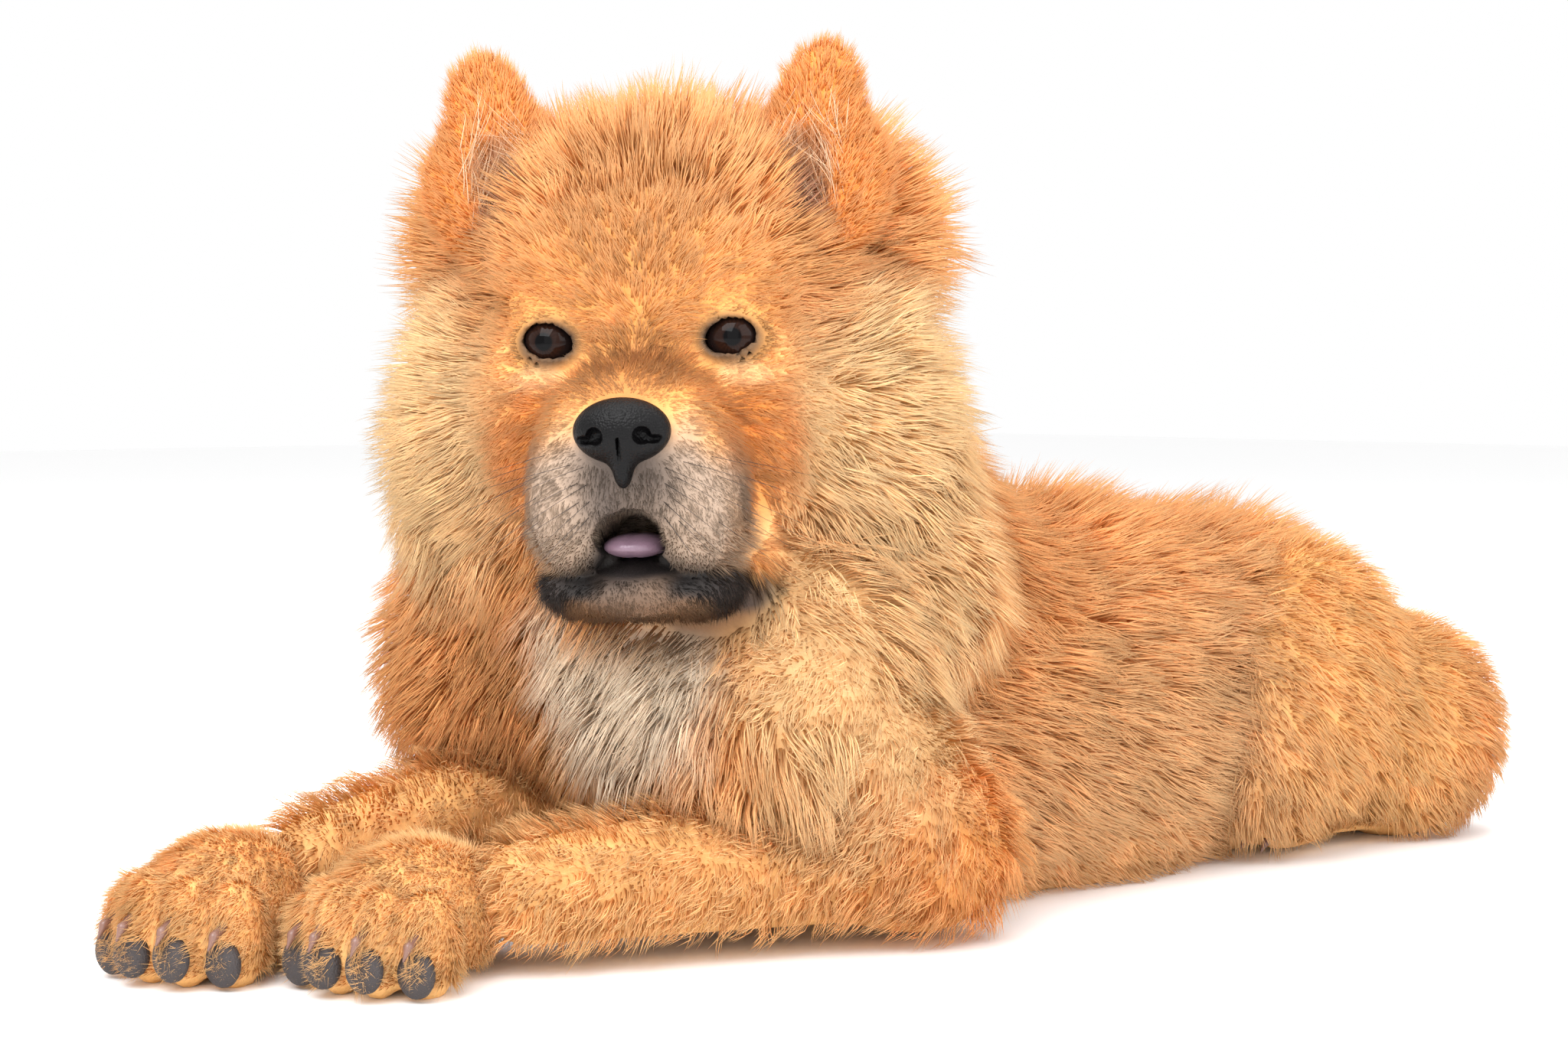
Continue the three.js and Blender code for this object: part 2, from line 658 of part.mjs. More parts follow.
// Places round the line of a lock: left edge, ridge and right edge at each ring, and the tip
function lockPoints(line, { wide, thick }, grow = 0) {
  const points = [];
  for (const { step, share } of LOCK.rings) {
    const { at, way, up, level } = line[step];
    const side = new THREE.Vector3().crossVectors(way, up);
    for (const turn of [1, 0, -1]) {
      const p = at.clone().addScaledVector(side, (turn * wide * share) / 2);
      if (turn) ontoLevel(coatField, p, level);
      p.addScaledVector(side, LOCK.edge * grow * turn);
      points.push(p.addScaledVector(up, turn ? -grow : thick * share + LOCK.edge * grow));
    }
  }
  const { at, way } = line[LOCK.steps];
  points.push(at.clone().addScaledVector(way, LOCK.end * grow));
  return points;
}

function lockSolid(line, size, grow) {
  const index = [0, 1, 2];
  const rings = LOCK.rings.length;
  const tip = 3 * rings;
  for (let k = 0; k < rings; k++) {
    for (let j = 0; j < 3; j++) {
      const a = 3 * k + j;
      const b = 3 * k + ((j + 1) % 3);
      if (k === rings - 1) index.push(a, tip, b);
      else index.push(a, a + 3, b + 3, a, b + 3, b);
    }
  }
  return solid(lockPoints(line, size, grow), index);
}

function lockLine(from, coat) {
  const p = from.clone();
  const bend = between(-LOCK.bend, LOCK.bend);
  const pace = (coat.long * between(0.85, 1.15)) / LOCK.steps;
  const line = [];
  for (let i = 0; i <= LOCK.steps; i++) {
    const t = i / LOCK.steps;
    const level = -(coat.depth(p) + LOCK.sunk) * (1 - t) + LOCK.over * t;
    ontoLevel(coatField, p, level);
    p.z = Math.max(p.z, LOCK.sunk);
    const up = slopeOf(coatField, p).normalize();
    const way = coat.lie(p).projectOnPlane(up).normalize().applyAxisAngle(up, bend * (2 * t - 1));
    line.push({ at: p.clone(), up, way, level });
    p.addScaledVector(way, pace);
  }
  return line;
}

// Places for the roots, drawn at random over a core and kept apart along and across the lie
function rootsOn(part, others) {
  const { core, coat } = part;
  const mesh = core.getMesh();
  const corner = (i) => new THREE.Vector3().fromArray(mesh.vertProperties, 3 * mesh.triVerts[i]);
  const faces = [];
  let area = 0;
  for (let i = 0; i < mesh.triVerts.length; i += 3) {
    const triangle = new THREE.Triangle(corner(i), corner(i + 1), corner(i + 2));
    area += triangle.getArea();
    faces.push({ triangle, upTo: area });
  }
  const roots = [];
  for (let n = 0; n < LOCK.tries; n++) {
    const pick = between(0, area);
    const { a, b, c } = faces.find((face) => face.upTo >= pick).triangle;
    const [u, v] = [Math.sqrt(between(0, 1)), between(0, 1)];
    const p = a.clone().multiplyScalar(1 - u).addScaledVector(b, u * (1 - v)).addScaledVector(c, u * v);
    const up = slopeOf(coatField, p).normalize();
    const bare = Math.abs(part.flesh(p)) > 2 || offFace(p) < LOCK.bare || p.z < LOCK.lowest || up.z < LOCK.under;
    if (bare || others.some((other) => other.flesh(p) < 1)) continue;
    const way = coat.lie(p).projectOnPlane(up).normalize();
    const clear = roots.every((r) => {
      const off = p.clone().sub(r.at);
      const along = off.dot(r.way);
      const across = Math.sqrt(Math.max(off.lengthSq() - along * along, 0));
      return Math.hypot(along / (coat.long * LOCK.along), across / (coat.wide * LOCK.across)) > 1;
    });
    if (clear) roots.push({ at: p, way });
  }
  return roots;
}

// The parts that don't share the surface of one
const FUSED = ["head", "neck", "torso"];
const separate = (part) =>
  made.filter((p) => p.flesh && p !== part && !(FUSED.includes(p.name) && FUSED.includes(part.name)));

for (const part of made.filter((p) => p.coat)) {
  const others = separate(part);
  const runsInto = (line) => line.some(({ at }) => others.some((other) => other.flesh(at) < -LOCK.cross));
  const lines = rootsOn(part, others)
    .map(({ at }) => lockLine(at, part.coat))
    .filter((line) => !runsInto(line));
  part.locks = join(lines.map((line) => lockSolid(line, part.coat, 0)));
  part.grownLocks = join(lines.map((line) => lockSolid(line, part.coat, CLEAR)));
}

// The eyeballs, and the lids round them
const eyes = bothSides((s) => {
  const at = headFrame.clone().multiply(moveTo(s * EYE_AT[0], EYE_AT[1], EYE_AT[2]));
  const globe = (r) => solidFrom(new THREE.SphereGeometry(r, 12, 8), at.clone().multiply(turnX(90)));
  const lids = solidFrom(
    new THREE.TorusGeometry(1, LID.thick / LID.high, 5, 14),
    at
      .clone()
      .multiply(turnZ(s * 14))
      .multiply(moveTo(0, -LID.ahead, 0))
      .multiply(turnX(90))
      .multiply(new THREE.Matrix4().makeScale(LID.wide, LID.high, LID.high)),
  );
  const name = s > 0 ? "eye_left" : "eye_right";
  return { name, core: globe(EYE_R), grown: globe(EYE_R + GAP), lids, colour: COLOUR.eye };
});

const sized = (size) => new THREE.Matrix4().makeScale(...size);
const shaped = (geometry, frame, at, size, turn = new THREE.Matrix4()) =>
  solidFrom(geometry, frame.clone().multiply(moveTo(...at)).multiply(turn).multiply(sized(size)));
const roundForm = (around = 8, up = 6) => new THREE.SphereGeometry(1, around, up);

const nostrils = bothSides((s) =>
  shaped(roundForm(), headFrame, [s * NOSTRIL.across, NOSTRIL.ahead, NOSTRIL.up], NOSTRIL.size),
);

// The pad under the front of each toe and the claw above it
const toeTips = (frame) =>
  TOES.flatMap((t) => {
    const turn = turnZ(t.across * 1.4);
    const front = t.ahead - TOE_R - 1;
    return [
      shaped(roundForm(), frame, [t.across * 1.12, front, t.up - 5], PAD, turn),
      shaped(
        new THREE.ConeGeometry(CLAW.r, CLAW.length, 5),
        frame,
        [t.across * 1.12, front - 2, t.up + 6],
        [1, 1, 1],
        turn.clone().multiply(turnX(-145)),
      ),
    ];
  });

const part = (name) => made.find((p) => p.name === name);
for (const name of ["ear_left", "ear_right"]) {
  const ear = part(name);
  ear.core = ear.core.subtract(shaped(roundForm(10, 7), ear.frame, EAR_CUP.at, EAR_CUP.size));
}
for (const name of ["left", "right"]) {
  const paw = part("paw_front_" + name);
  paw.core = join([paw.core, ...toeTips(paw.frame)]);
}
const head = part("head");
head.core = join([head.core, ...eyes.map((eye) => eye.lids)]);
head.core = head.core.subtract(shaped(roundForm(), headFrame, MOUTH.at, MOUTH.size));
const nose = part("nose");
nose.core = nostrils.reduce((a, b) => a.subtract(b), nose.core);

made.unshift(...eyes);
const without = (shape, cutters) => cutters.reduce((a, b) => a.subtract(b), shape);
const cornersOf = (shape) => {
  const { vertProperties } = shape.getMesh();
  return Array.from({ length: vertProperties.length / 3 }, (_, i) => v3(vertProperties.subarray(3 * i, 3 * i + 3)));
};

// A solid moved a little to each side, which cuts a part clear of it where they would still meet
const WAYS = [-GAP, 0, GAP].flatMap((d) => [v3([d, 0, 0]), v3([0, d, 0]), v3([0, 0, d])]);
function shifted(shape, way) {
  const { triVerts } = shape.getMesh();
  return solid(cornersOf(shape).map((p) => p.add(way)), [...triVerts]);
}

made.forEach((part, i) => {
  const before = made.slice(0, i);
  let whole = without(part.core, before.map((p) => p.grown));
  if (part.locks) {
    const cores = made.filter((p) => p !== part).map((p) => p.cleared ?? p.grown);
    const locks = before.filter((p) => p.locks).map((p) => p.grownLocks);
    whole = whole.add(without(part.locks, [...cores, ...locks]));
  }
  for (const other of before.filter((p) => whole.intersect(p.whole).volume() > LEAST_CLASH)) {
    whole = without(whole, WAYS.map((way) => shifted(other.whole, way)));
  }
  part.whole = largest(whole.subtract(floorSlab));
});

// Each part is thinned out, but not where it meets the floor or another part, and not near a place where two
// thinned parts would meet

const AT_FLOOR = 1;
const onSeam = (p) => Math.min(Math.abs(pastThroat(p)), Math.abs(pastWithers(p))) < NEAR_SEAM;
const sore = [];
for (let round = 0; round < THIN_ROUNDS; round++) {
  for (const part of made) {
    const others = separate(part);
    const slackAt = (p) => {
      const held = p.z < AT_FLOOR || onSeam(p) || others.some((other) => other.flesh(p) < NEAR);
      if (held || sore.some((q) => q.distanceTo(p) < NEAR_SORE)) return 0;
      return part.locks && offFace(p) > LOCK.bare ? SLACK.coat : SLACK.bare;
    };
    part.body = closeUp(part.whole, slackAt);
  }
  const shared = made.flatMap((a, i) => made.slice(i + 1).map((b) => a.body.intersect(b.body)));
  const clashes = shared.filter((s) => s.volume() > LEAST_CLASH).flatMap(cornersOf);
  if (!clashes.length) break;
  sore.push(...clashes);
}

function addNode(name, shape, colour, roughness = 0.85) {
  const m = shape.getMesh();
  const geometry = new THREE.BufferGeometry();
  geometry.setAttribute("position", new THREE.BufferAttribute(new Float32Array(m.vertProperties), 3));
  geometry.setIndex(new THREE.BufferAttribute(new Uint32Array(m.triVerts), 1));
  geometry.computeVertexNormals();
  const mesh = new THREE.Mesh(geometry, new THREE.MeshStandardMaterial({ color: colour, roughness, metalness: 0 }));
  mesh.name = name;
  root.add(mesh);
}

for (const part of made) addNode(part.name, part.body, part.colour);

const bounds = new THREE.Box3().setFromObject(root);
const middle = bounds.getCenter(new THREE.Vector3());
root.position.set(-middle.x, -middle.y, -bounds.min.z);

export default root;
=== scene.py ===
"""A life-size chow chow puppy that lies on its chest with its head turned to its left: skin, coat, face,
feet and a plain studio. Places are laid out in millimetres from the floor midway between the elbows, as the
solids are, and set in the frame's metres by the eyes."""
import math

import bpy
import numpy as np
from mathutils import Matrix, Vector, kdtree

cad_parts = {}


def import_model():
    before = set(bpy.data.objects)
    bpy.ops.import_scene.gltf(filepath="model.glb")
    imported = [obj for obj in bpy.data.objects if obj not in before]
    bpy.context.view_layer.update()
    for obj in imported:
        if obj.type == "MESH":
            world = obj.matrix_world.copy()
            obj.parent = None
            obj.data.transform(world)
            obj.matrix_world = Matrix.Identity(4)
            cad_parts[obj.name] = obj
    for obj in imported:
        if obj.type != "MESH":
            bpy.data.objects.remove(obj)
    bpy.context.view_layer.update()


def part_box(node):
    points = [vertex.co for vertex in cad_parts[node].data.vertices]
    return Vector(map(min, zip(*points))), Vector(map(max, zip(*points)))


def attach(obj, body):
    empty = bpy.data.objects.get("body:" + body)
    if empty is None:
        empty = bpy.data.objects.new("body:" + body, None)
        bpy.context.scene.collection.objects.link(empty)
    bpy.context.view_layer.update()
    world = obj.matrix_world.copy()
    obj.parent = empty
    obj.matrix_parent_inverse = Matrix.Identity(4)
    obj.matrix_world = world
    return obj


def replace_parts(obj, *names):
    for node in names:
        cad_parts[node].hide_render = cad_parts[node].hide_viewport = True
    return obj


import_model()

MM = 0.001
RNG = np.random.default_rng(20)
DOWN = np.array([0.0, 0.0, -1.0])
BACK = np.array([0.0, 1.0, 0.0])

SIDES = {"left": 1, "right": -1}

# Driving dimensions, in millimetres and degrees
HEAD_AT = (8, -92, 215)
HEAD_TURN = 43
HEAD_TILT = -1.5
EYE_AT = (30, -39, -9)
EYE_R = 10
EYE_TURN = 6
EAR_AT = (54, -4, 53)
EAR_TURN = 10
NOSE_AT = (0, -80, -38)
NOSTRIL = (((7.6, -88.2, -39.5), (3, 5, 3)), ((11.2, -85.7, -40.7), (4, 3, 1.4)))  # hollow and slit
PHILTRUM = {"half_wide": 0.5, "back": -85.5, "top": -40}
MOUTH = {"at": (0, -68, -72), "size": (12, 26, 9)}
GAPE = {"peak": -65, "slope": (0.8, 0.6), "back": -60, "floor": -100}
TONGUE = {"at": (0, -59, -75), "size": (10.5, 18, 4), "furrow": 0.3, "furrow_wide": 1.2}
PAW_TURN = 26
FACE = {"at": (0, -58, -32), "size": (50, 46, 58), "fade": 30}  # the short-haired part of the face

# How far the skin lies inside the outline of the coat
DEPTH = {"body": 14, "leg": 8, "paw": 2, "foot": 4, "ear": 2, "jaw": 4, "face": 1.2}

# The lids over the globe, and the half sizes of the slit between them
LID = {"thick": 1.7, "back": 4, "gap": 0.15}
SLIT = {"wide": 8.4, "above": 5.9, "below": 5.2, "slant": 0.10, "edge": 5.5, "back": -2}
SKIN_STEP = {"fine": 1.6, "coarse": 4.5}  # of the grid, fine round the face and ears

FORELEG = {
    "left": {
        "shoulder": (54, -72, 94),
        "elbow": (64, -24, 33),
        "wrist": (17, -154, 25),
        "paw": (4, -196),
    },
    "right": {
        "shoulder": (-58, -88, 92),
        "elbow": (-62, -66, 46),
        "wrist": (-53, -192, 29),
        "paw": (-48, -235),
    },
}
HINDLEG = {
    "left": {
        "thigh": (42, 212, 66),
        "knee": (50, 178, 50),
        "seat": (46, 270, 44),
        "heel": (54, 270, 18),
        "toe": (46, 196, 15),
    },
    "right": {
        "thigh": (-42, 212, 66),
        "knee": (-54, 178, 50),
        "seat": (-42, 266, 46),
        "heel": (-66, 262, 18),
        "toe": (-78, 172, 15),
    },
}
TAIL = ((-14, 266, 96), (-42, 276, 110), (-68, 256, 108), (-84, 220, 92), (-92, 184, 74))
TAIL_R = 24
TAIL_STEPS = 7
TOES = ((-19.5, -13, 15), (-7, -21, 17), (7, -21, 17), (19.5, -13, 15))
TOE_SIZE = (10.5, 13.5, 19.5)

# The camera's azimuth, place and nearest distance, and the horizon's row, focal length and size of the
# photo in pixels
CAMERA = {"azimuth": 50, "at": (685.8, -606.3, 192), "horizon": 500, "lens": 3230, "nearest": 0.01}
PHOTO = (2048, 1368)
FILM_WIDTH = 36.0


def turned(axis, degrees):
    return Matrix.Rotation(math.radians(degrees), 4, axis)


def moved(*place):
    return Matrix.Translation(place)


HEAD = moved(*HEAD_AT) @ turned("Z", HEAD_TURN) @ turned("Y", HEAD_TILT)


def mirrored(place, s):
    """A place on the left side, or its match on the right where s is -1."""
    return (s * place[0], place[1], place[2])


def ear_frame(s):
    return HEAD @ moved(*mirrored(EAR_AT, s)) @ turned("Z", -EAR_TURN * s) @ turned("Y", EAR_TURN * s)


EARS = {side: ear_frame(s) for side, s in SIDES.items()}
PAWS = {side: moved(*leg["paw"], 0) @ turned("Z", PAW_TURN) for side, leg in FORELEG.items()}
EYES = {side: HEAD @ Vector(mirrored(EYE_AT, s)) for side, s in SIDES.items()}


def box_middle(name):
    low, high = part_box(name)
    return (Vector(low) + Vector(high)) / 2


SHIFT = sum((box_middle("eye_" + side) - at * MM for side, at in EYES.items()), Vector()) / 2


def world(place):
    """A place laid out in millimetres, in the frame's metres."""
    return Vector(place) * MM + SHIFT


# Distance fields, as in the solids: ellipsoids and tapered bars that melt together. Places are rows of
# an array.


def ball(at, size):
    """About how far a place is from an ellipsoid."""
    centre = np.array(at, dtype=float)
    radii = np.broadcast_to(np.array(size, dtype=float), 3)

    def field(p):
        d = (p - centre) / radii + 1e-6
        k = np.sqrt(np.einsum("ij,ij->i", d, d))
        d /= radii
        return k * (k - 1) / np.sqrt(np.einsum("ij,ij->i", d, d))

    return field


def bar(a, b, r0, r1):
    """How far a place is from a bar between a and b that tapers from r0 to r1."""
    a, b = np.array(a, dtype=float), np.array(b, dtype=float)
    along = b - a

    def field(p):
        t = np.clip((p - a) @ along / (along @ along), 0, 1)
        d = p - a - t[:, None] * along
        return np.sqrt(np.einsum("ij,ij->i", d, d)) - (r0 + (r1 - r0) * t)

    return field


def melt2(a, b, k):
    """Two distances as one, rounded over k where they cross."""
    overlap = np.maximum(k - np.abs(a - b), 0)
    return np.minimum(a, b) - overlap * overlap / k * 0.25


def melt(fields, k):
    def field(p):
        value = fields[0](p)
        for other in fields[1:]:
            value = melt2(value, other(p), k)
        return value

    return field


def moved_by(matrix, p):
    m = np.array(matrix)
    return p @ m[:3, :3].T + m[:3, 3]


def turned_by(matrix, p):
    return p @ np.array(matrix)[:3, :3].T


def placed(field, matrix):
    back = matrix.inverted()
    return lambda p: field(moved_by(back, p))


def smoothstep(x, a, b):
    t = np.clip((x - a) / (b - a), 0, 1)
    return t * t * (3 - 2 * t)


def unit(v):
    return v / np.maximum(np.linalg.norm(v, axis=-1, keepdims=True), 1e-9)


def both(at, size):
    """The same mass on either side of the head."""
    return [ball(mirrored(at, s), size) for s in SIDES.values()]


def folded(q):
    """Places in the head's frame, with the right side laid on the left."""
    return np.abs(q) * np.array((1, 0, 0)) + q * np.array((0, 1, 1))


head_field = melt(
    [ball((0, 6, 16), (72, 58, 65)), ball((0, -18, 20), (50, 34, 42))]
    + both((26, -28, 16), (23, 18, 16))
    + both((57, 32, 26), (46, 36, 50))
    + both((51, 14, -34), (52, 52, 60))
    + both((34, -20, -30), (30, 26, 30))
    + [ball((0, -44, -37), (29, 38, 22))]
    + both((18, -58, -60), (18, 22, 27)),
    14,
)
jaw_field = melt([ball((0, -50, -90), (28, 30, 13))] + both((21, -42, -88), (17, 26, 14)), 8)
nose_field = melt([ball(NOSE_AT, (15.5, 9, 10.5)), ball((0, -80, -49), (3.2, 5, 7))], 4)
ear_field = melt([ball((0, 2, -10), (29, 14, 30)), ball((0, 0, 18), (15, 9, 20))], 10)
ear_cup = ball((0, -14, -9), (13, 10, 21))
tongue_bed = ball((0, -50, -84), (11, 16, 5))
neck_field = melt(
    [
        placed(ball((0, 22, -58), (106, 58, 84)), HEAD),
        ball((-2, -66, 84), (86, 66, 72)),
        ball((-70, -104, 92), (50, 54, 64)),
        ball((56, -68, 92), (46, 50, 58)),
        ball((12, -22, 122), (84, 50, 60)),
        bar((-14, -46, 174), (0, 36, 92), 72, 66),
    ],
    22,
)
torso_field = melt(
    [
        bar((0, -20, 60), (0, 108, 58), 72, 74),
        bar((0, 108, 58), (0, 250, 56), 74, 64),
        bar((0, 40, 84), (0, 112, 87), 66, 66),
        bar((0, 112, 87), (0, 166, 80), 66, 65),
        bar((0, 166, 80), (2, 212, 80), 65, 64),
        ball((2, 258, 52), (60, 58, 58)),
    ],
    12,
)
paw_field = melt([ball((0, 8, 19.5), (28, 34, 25.5))] + [ball(at, TOE_SIZE) for at in TOES], 5)


def foreleg_field(leg):
    return melt([bar(leg["shoulder"], leg["elbow"], 42, 37), bar(leg["elbow"], leg["wrist"], 34, 25)], 14)


def thigh_field(leg):
    thigh, knee, seat = leg["thigh"], leg["knee"], leg["seat"]
    return melt([ball(thigh, (44, 58, 66)), ball(knee, (34, 40, 50)), ball(seat, (48, 54, 54))], 18)


def foot_field(leg):
    return melt([bar(leg["heel"], leg["toe"], 18, 14), ball(leg["toe"], (21, 27, 16))], 10)


def tail_path(steps):
    """Points on a smooth curve through the tail's places."""
    ends = np.array((TAIL[0],) + TAIL + (TAIL[-1],), dtype=float)
    out = []
    for t in np.linspace(0, len(TAIL) - 1, steps):
        i = min(int(t), len(TAIL) - 2)
        f = t - i
        a, b, c, d = ends[i : i + 4]
        square = (2 * a - 5 * b + 4 * c - d) * f**2
        cube = (3 * b - a - 3 * c + d) * f**3
        out.append(0.5 * (2 * b + (c - a) * f + square + cube))
    return np.array(out)


TAIL_POINTS = tail_path(TAIL_STEPS + 1)
TAIL_RADII = TAIL_R * (0.62 + 0.38 * np.sin(np.pi * np.linspace(0, 1, TAIL_STEPS + 1)))
tail_field = melt([bar(*TAIL_POINTS[i : i + 2], *TAIL_RADII[i : i + 2]) for i in range(TAIL_STEPS)], 8)

face_field = placed(ball(FACE["at"], FACE["size"]), HEAD)


def off_face(p):
    """0 on the short-haired face, rising to 1 where the long coat is full."""
    return smoothstep(face_field(p), 0, FACE["fade"])


def body_depth(p):
    """How deep the skin of head, neck and torso lies: less on the face and near the floor."""
    off_floor = 0.25 + 0.75 * smoothstep(p[:, 2], 4, 40)
    return np.maximum(DEPTH["body"] * off_face(p) * off_floor, DEPTH["face"])


PARTS = {
    "head": placed(head_field, HEAD),
    "neck": neck_field,
    "torso": torso_field,
    "tail": tail_field,
    "jaw": placed(jaw_field, HEAD),
    **{"foreleg_" + side: foreleg_field(leg) for side, leg in FORELEG.items()},
    **{"paw_" + side: placed(paw_field, PAWS[side]) for side in FORELEG},
    **{"thigh_" + side: thigh_field(leg) for side, leg in HINDLEG.items()},
    **{"foot_" + side: foot_field(leg) for side, leg in HINDLEG.items()},
    **{"ear_" + side: placed(ear_field, EARS[side]) for side in SIDES},
}
whole_field = melt([PARTS["head"], neck_field, torso_field], 18)


def with_mouth(value, q):
    """The head with the mouth's cavity, the gape between the flews and the lower jaw."""
    value = np.maximum(value, -ball(MOUTH["at"], MOUTH["size"])(q))
    across, down = GAPE["slope"]
    gape = np.abs(q[:, 0]) * across - (GAPE["peak"] - q[:, 2]) * down
    gape = np.maximum(np.maximum(gape, q[:, 1] - GAPE["back"]), GAPE["floor"] - q[:, 2])
    value = np.maximum(value, -gape)
    value = np.minimum(value, jaw_field(q) + DEPTH["jaw"])
    return melt2(value, tongue_bed(q), 2)


def with_ear(value, p, side):
    """The head with one ear, hollowed at its front."""
    r = moved_by(EARS[side].inverted(), p)
    return melt2(value, np.maximum(ear_field(r) + DEPTH["ear"], -ear_cup(r)), 5)


def with_lids(value, q, s):
    """The head with one eye's lids, the slit between them and the socket."""
    eye = q - np.array(mirrored(EYE_AT, s))
    socket = np.linalg.norm(eye, axis=1)
    lid = socket - EYE_R - LID["thick"]
    value = melt2(value, np.maximum(lid, eye[:, 1] - LID["back"]), 5)
    across = eye[:, 0]
    up = eye[:, 2] - across * s * SLIT["slant"]
    high = np.where(up > 0, SLIT["above"], SLIT["below"])
    slit = (np.sqrt((across / SLIT["wide"]) ** 2 + (up / high) ** 2) - 1) * SLIT["edge"]
    value = np.maximum(value, -np.maximum(slit, eye[:, 1] - SLIT["back"]))
    return np.maximum(value, EYE_R + LID["gap"] - socket)


def skin_field(p):
    """The skin: the body inside its coat, with the mouth, the ears' cups, the lids and the toes."""
    value = whole_field(p) + body_depth(p)
    for side in SIDES:
        value = melt2(value, PARTS["foreleg_" + side](p) + DEPTH["leg"], 6)
        value = melt2(value, PARTS["thigh_" + side](p) + DEPTH["leg"], 6)
        value = melt2(value, PARTS["paw_" + side](p) + DEPTH["paw"], 3)
        value = melt2(value, PARTS["foot_" + side](p) + DEPTH["foot"], 4)
    value = melt2(value, tail_field(p) + DEPTH["leg"], 6)
    q = moved_by(HEAD.inverted(), p)
    value = with_mouth(value, q)
    for side, s in SIDES.items():
        value = with_ear(value, p, side)
        value = with_lids(value, q, s)
    return value


def slopes(field, p, reach=0.4):
    """The gradient of a field at each place."""
    out = np.empty_like(p)
    for axis in range(3):
        step = np.zeros(3)
        step[axis] = reach
        out[:, axis] = (field(p + step) - field(p - step)) / (2 * reach)
    return out


def grid_values(field, axes, rows=8):
    """A field's value at every point of a grid, a few rows at a time."""
    value = np.empty(tuple(len(a) for a in axes))
    ys, zs = np.meshgrid(axes[1], axes[2], indexing="ij")
    for i in range(0, len(axes[0]), rows):
        xs = axes[0][i : i + rows]
        slab = np.empty((len(xs),) + ys.shape + (3,))
        slab[..., 0] = xs[:, None, None]
        slab[..., 1] = ys
        slab[..., 2] = zs
        value[i : i + rows] = field(slab.reshape(-1, 3)).reshape(slab.shape[:-1])
    return value


def cell_middles(value, axes, cells, corners):
    """For each cell that the surface crosses, the middle of its crossings with the cell's edges."""

    def place(points):
        return np.stack([axes[i][points[:, i]] for i in range(3)], axis=1)

    total = np.zeros((len(cells), 3))
    hits = np.zeros(len(cells))
    for corner in corners:
        for axis in range(3):
            if corner[axis]:
                continue
            far = corner.copy()
            far[axis] = 1
            a, b = cells + corner, cells + far
            va, vb = value[tuple(a.T)], value[tuple(b.T)]
            crossing = (va < 0) != (vb < 0)
            t = np.where(crossing, va / np.where(crossing, va - vb, 1), 0)[:, None]
            pa, pb = place(a), place(b)
            total += np.where(crossing[:, None], pa + t * (pb - pa), 0)
            hits += crossing
    return total / hits[:, None]


def quads_between(inside, index):
    """A quad round every edge of the grid that the surface crosses, facing out."""
    units = np.eye(3, dtype=int)
    quads = []
    for axis in range(3):
        u, v = units[(axis + 1) % 3], units[(axis + 2) % 3]
        low = tuple(slice(0, -1) if i == axis else slice(1, -1) for i in range(3))
        high = tuple(slice(1, None) if i == axis else slice(1, -1) for i in range(3))
        edges = np.argwhere(inside[low] != inside[high]) + 1 - units[axis]
        around = np.stack([index[tuple(e.T)] for e in (edges, edges - u, edges - u - v, edges - v)], axis=1)
        out = inside[tuple(edges.T)]
        quads.append(np.where(out[:, None], around, around[:, ::-1]))
    return np.concatenate(quads)


def surface(field, axes, steps=2, most=1.5):
    """The zero level of a field, as places and quads, on a grid that may be finer in places. The places are
    then drawn onto the level in steps, each of a few millimetres at most."""
    value = grid_values(field, axes)
    inside = value < 0
    corners = [np.array((i, j, k)) for i in (0, 1) for j in (0, 1) for k in (0, 1)]
    count = 0
    for corner in corners:
        count = count + inside[tuple(slice(c, n - 1 + c) for c, n in zip(corner, value.shape))].astype(int)
    cells = np.argwhere((count > 0) & (count < 8))
    index = np.full(count.shape, -1)
    index[tuple(cells.T)] = np.arange(len(cells))
    verts = cell_middles(value, axes, cells, corners)
    for _ in range(steps):
        g = slopes(field, verts)
        move = field(verts)[:, None] * g / np.maximum((g * g).sum(1, keepdims=True), 0.2)
        reach = np.linalg.norm(move, axis=1, keepdims=True)
        verts = verts - move * np.minimum(1, most / np.maximum(reach, 1e-9))
    return verts, quads_between(inside, index)


def axis_of(low, high, fine_low, fine_high):
    """Steps along one axis, coarse outside the fine stretch."""
    fine, coarse = SKIN_STEP["fine"], SKIN_STEP["coarse"]
    stretches = [(low, fine_low, coarse), (fine_low, fine_high, fine), (fine_high, high + coarse, coarse)]
    return np.concatenate([np.arange(*stretch) for stretch in stretches])


# Markings: a base tone with soft patches, each an ellipsoid in the frame of the body or the head


def tone(red, green, blue):
    """A colour as it is seen, 0 to 255 a channel, in linear light."""
    c = np.array((red, green, blue)) / 255
    return np.where(c > 0.04045, ((c + 0.055) / 1.055) ** 2.4, c / 12.92)


GOLD = tone(244, 172, 92)
ORANGE = tone(236, 146, 54)
CREAM = tone(253, 220, 164)
WHITE = tone(250, 234, 212)
FLANK = tone(240, 186, 124)
BROWN = tone(176, 108, 50)
MUZZLE = tone(170, 148, 130)
CHARCOAL = tone(60, 52, 50)
BLACK = tone(18, 15, 16)
# Dark tan of the chin, which also paints shade on the bottoms of the flews
CHIN_TAN_AND_FLEW_SHADE = tone(84, 64, 52)
PINK = tone(168, 112, 96)
LEG = tone(250, 196, 124)
THIGH = tone(251, 196, 118)
PALE = tone(255, 236, 200)

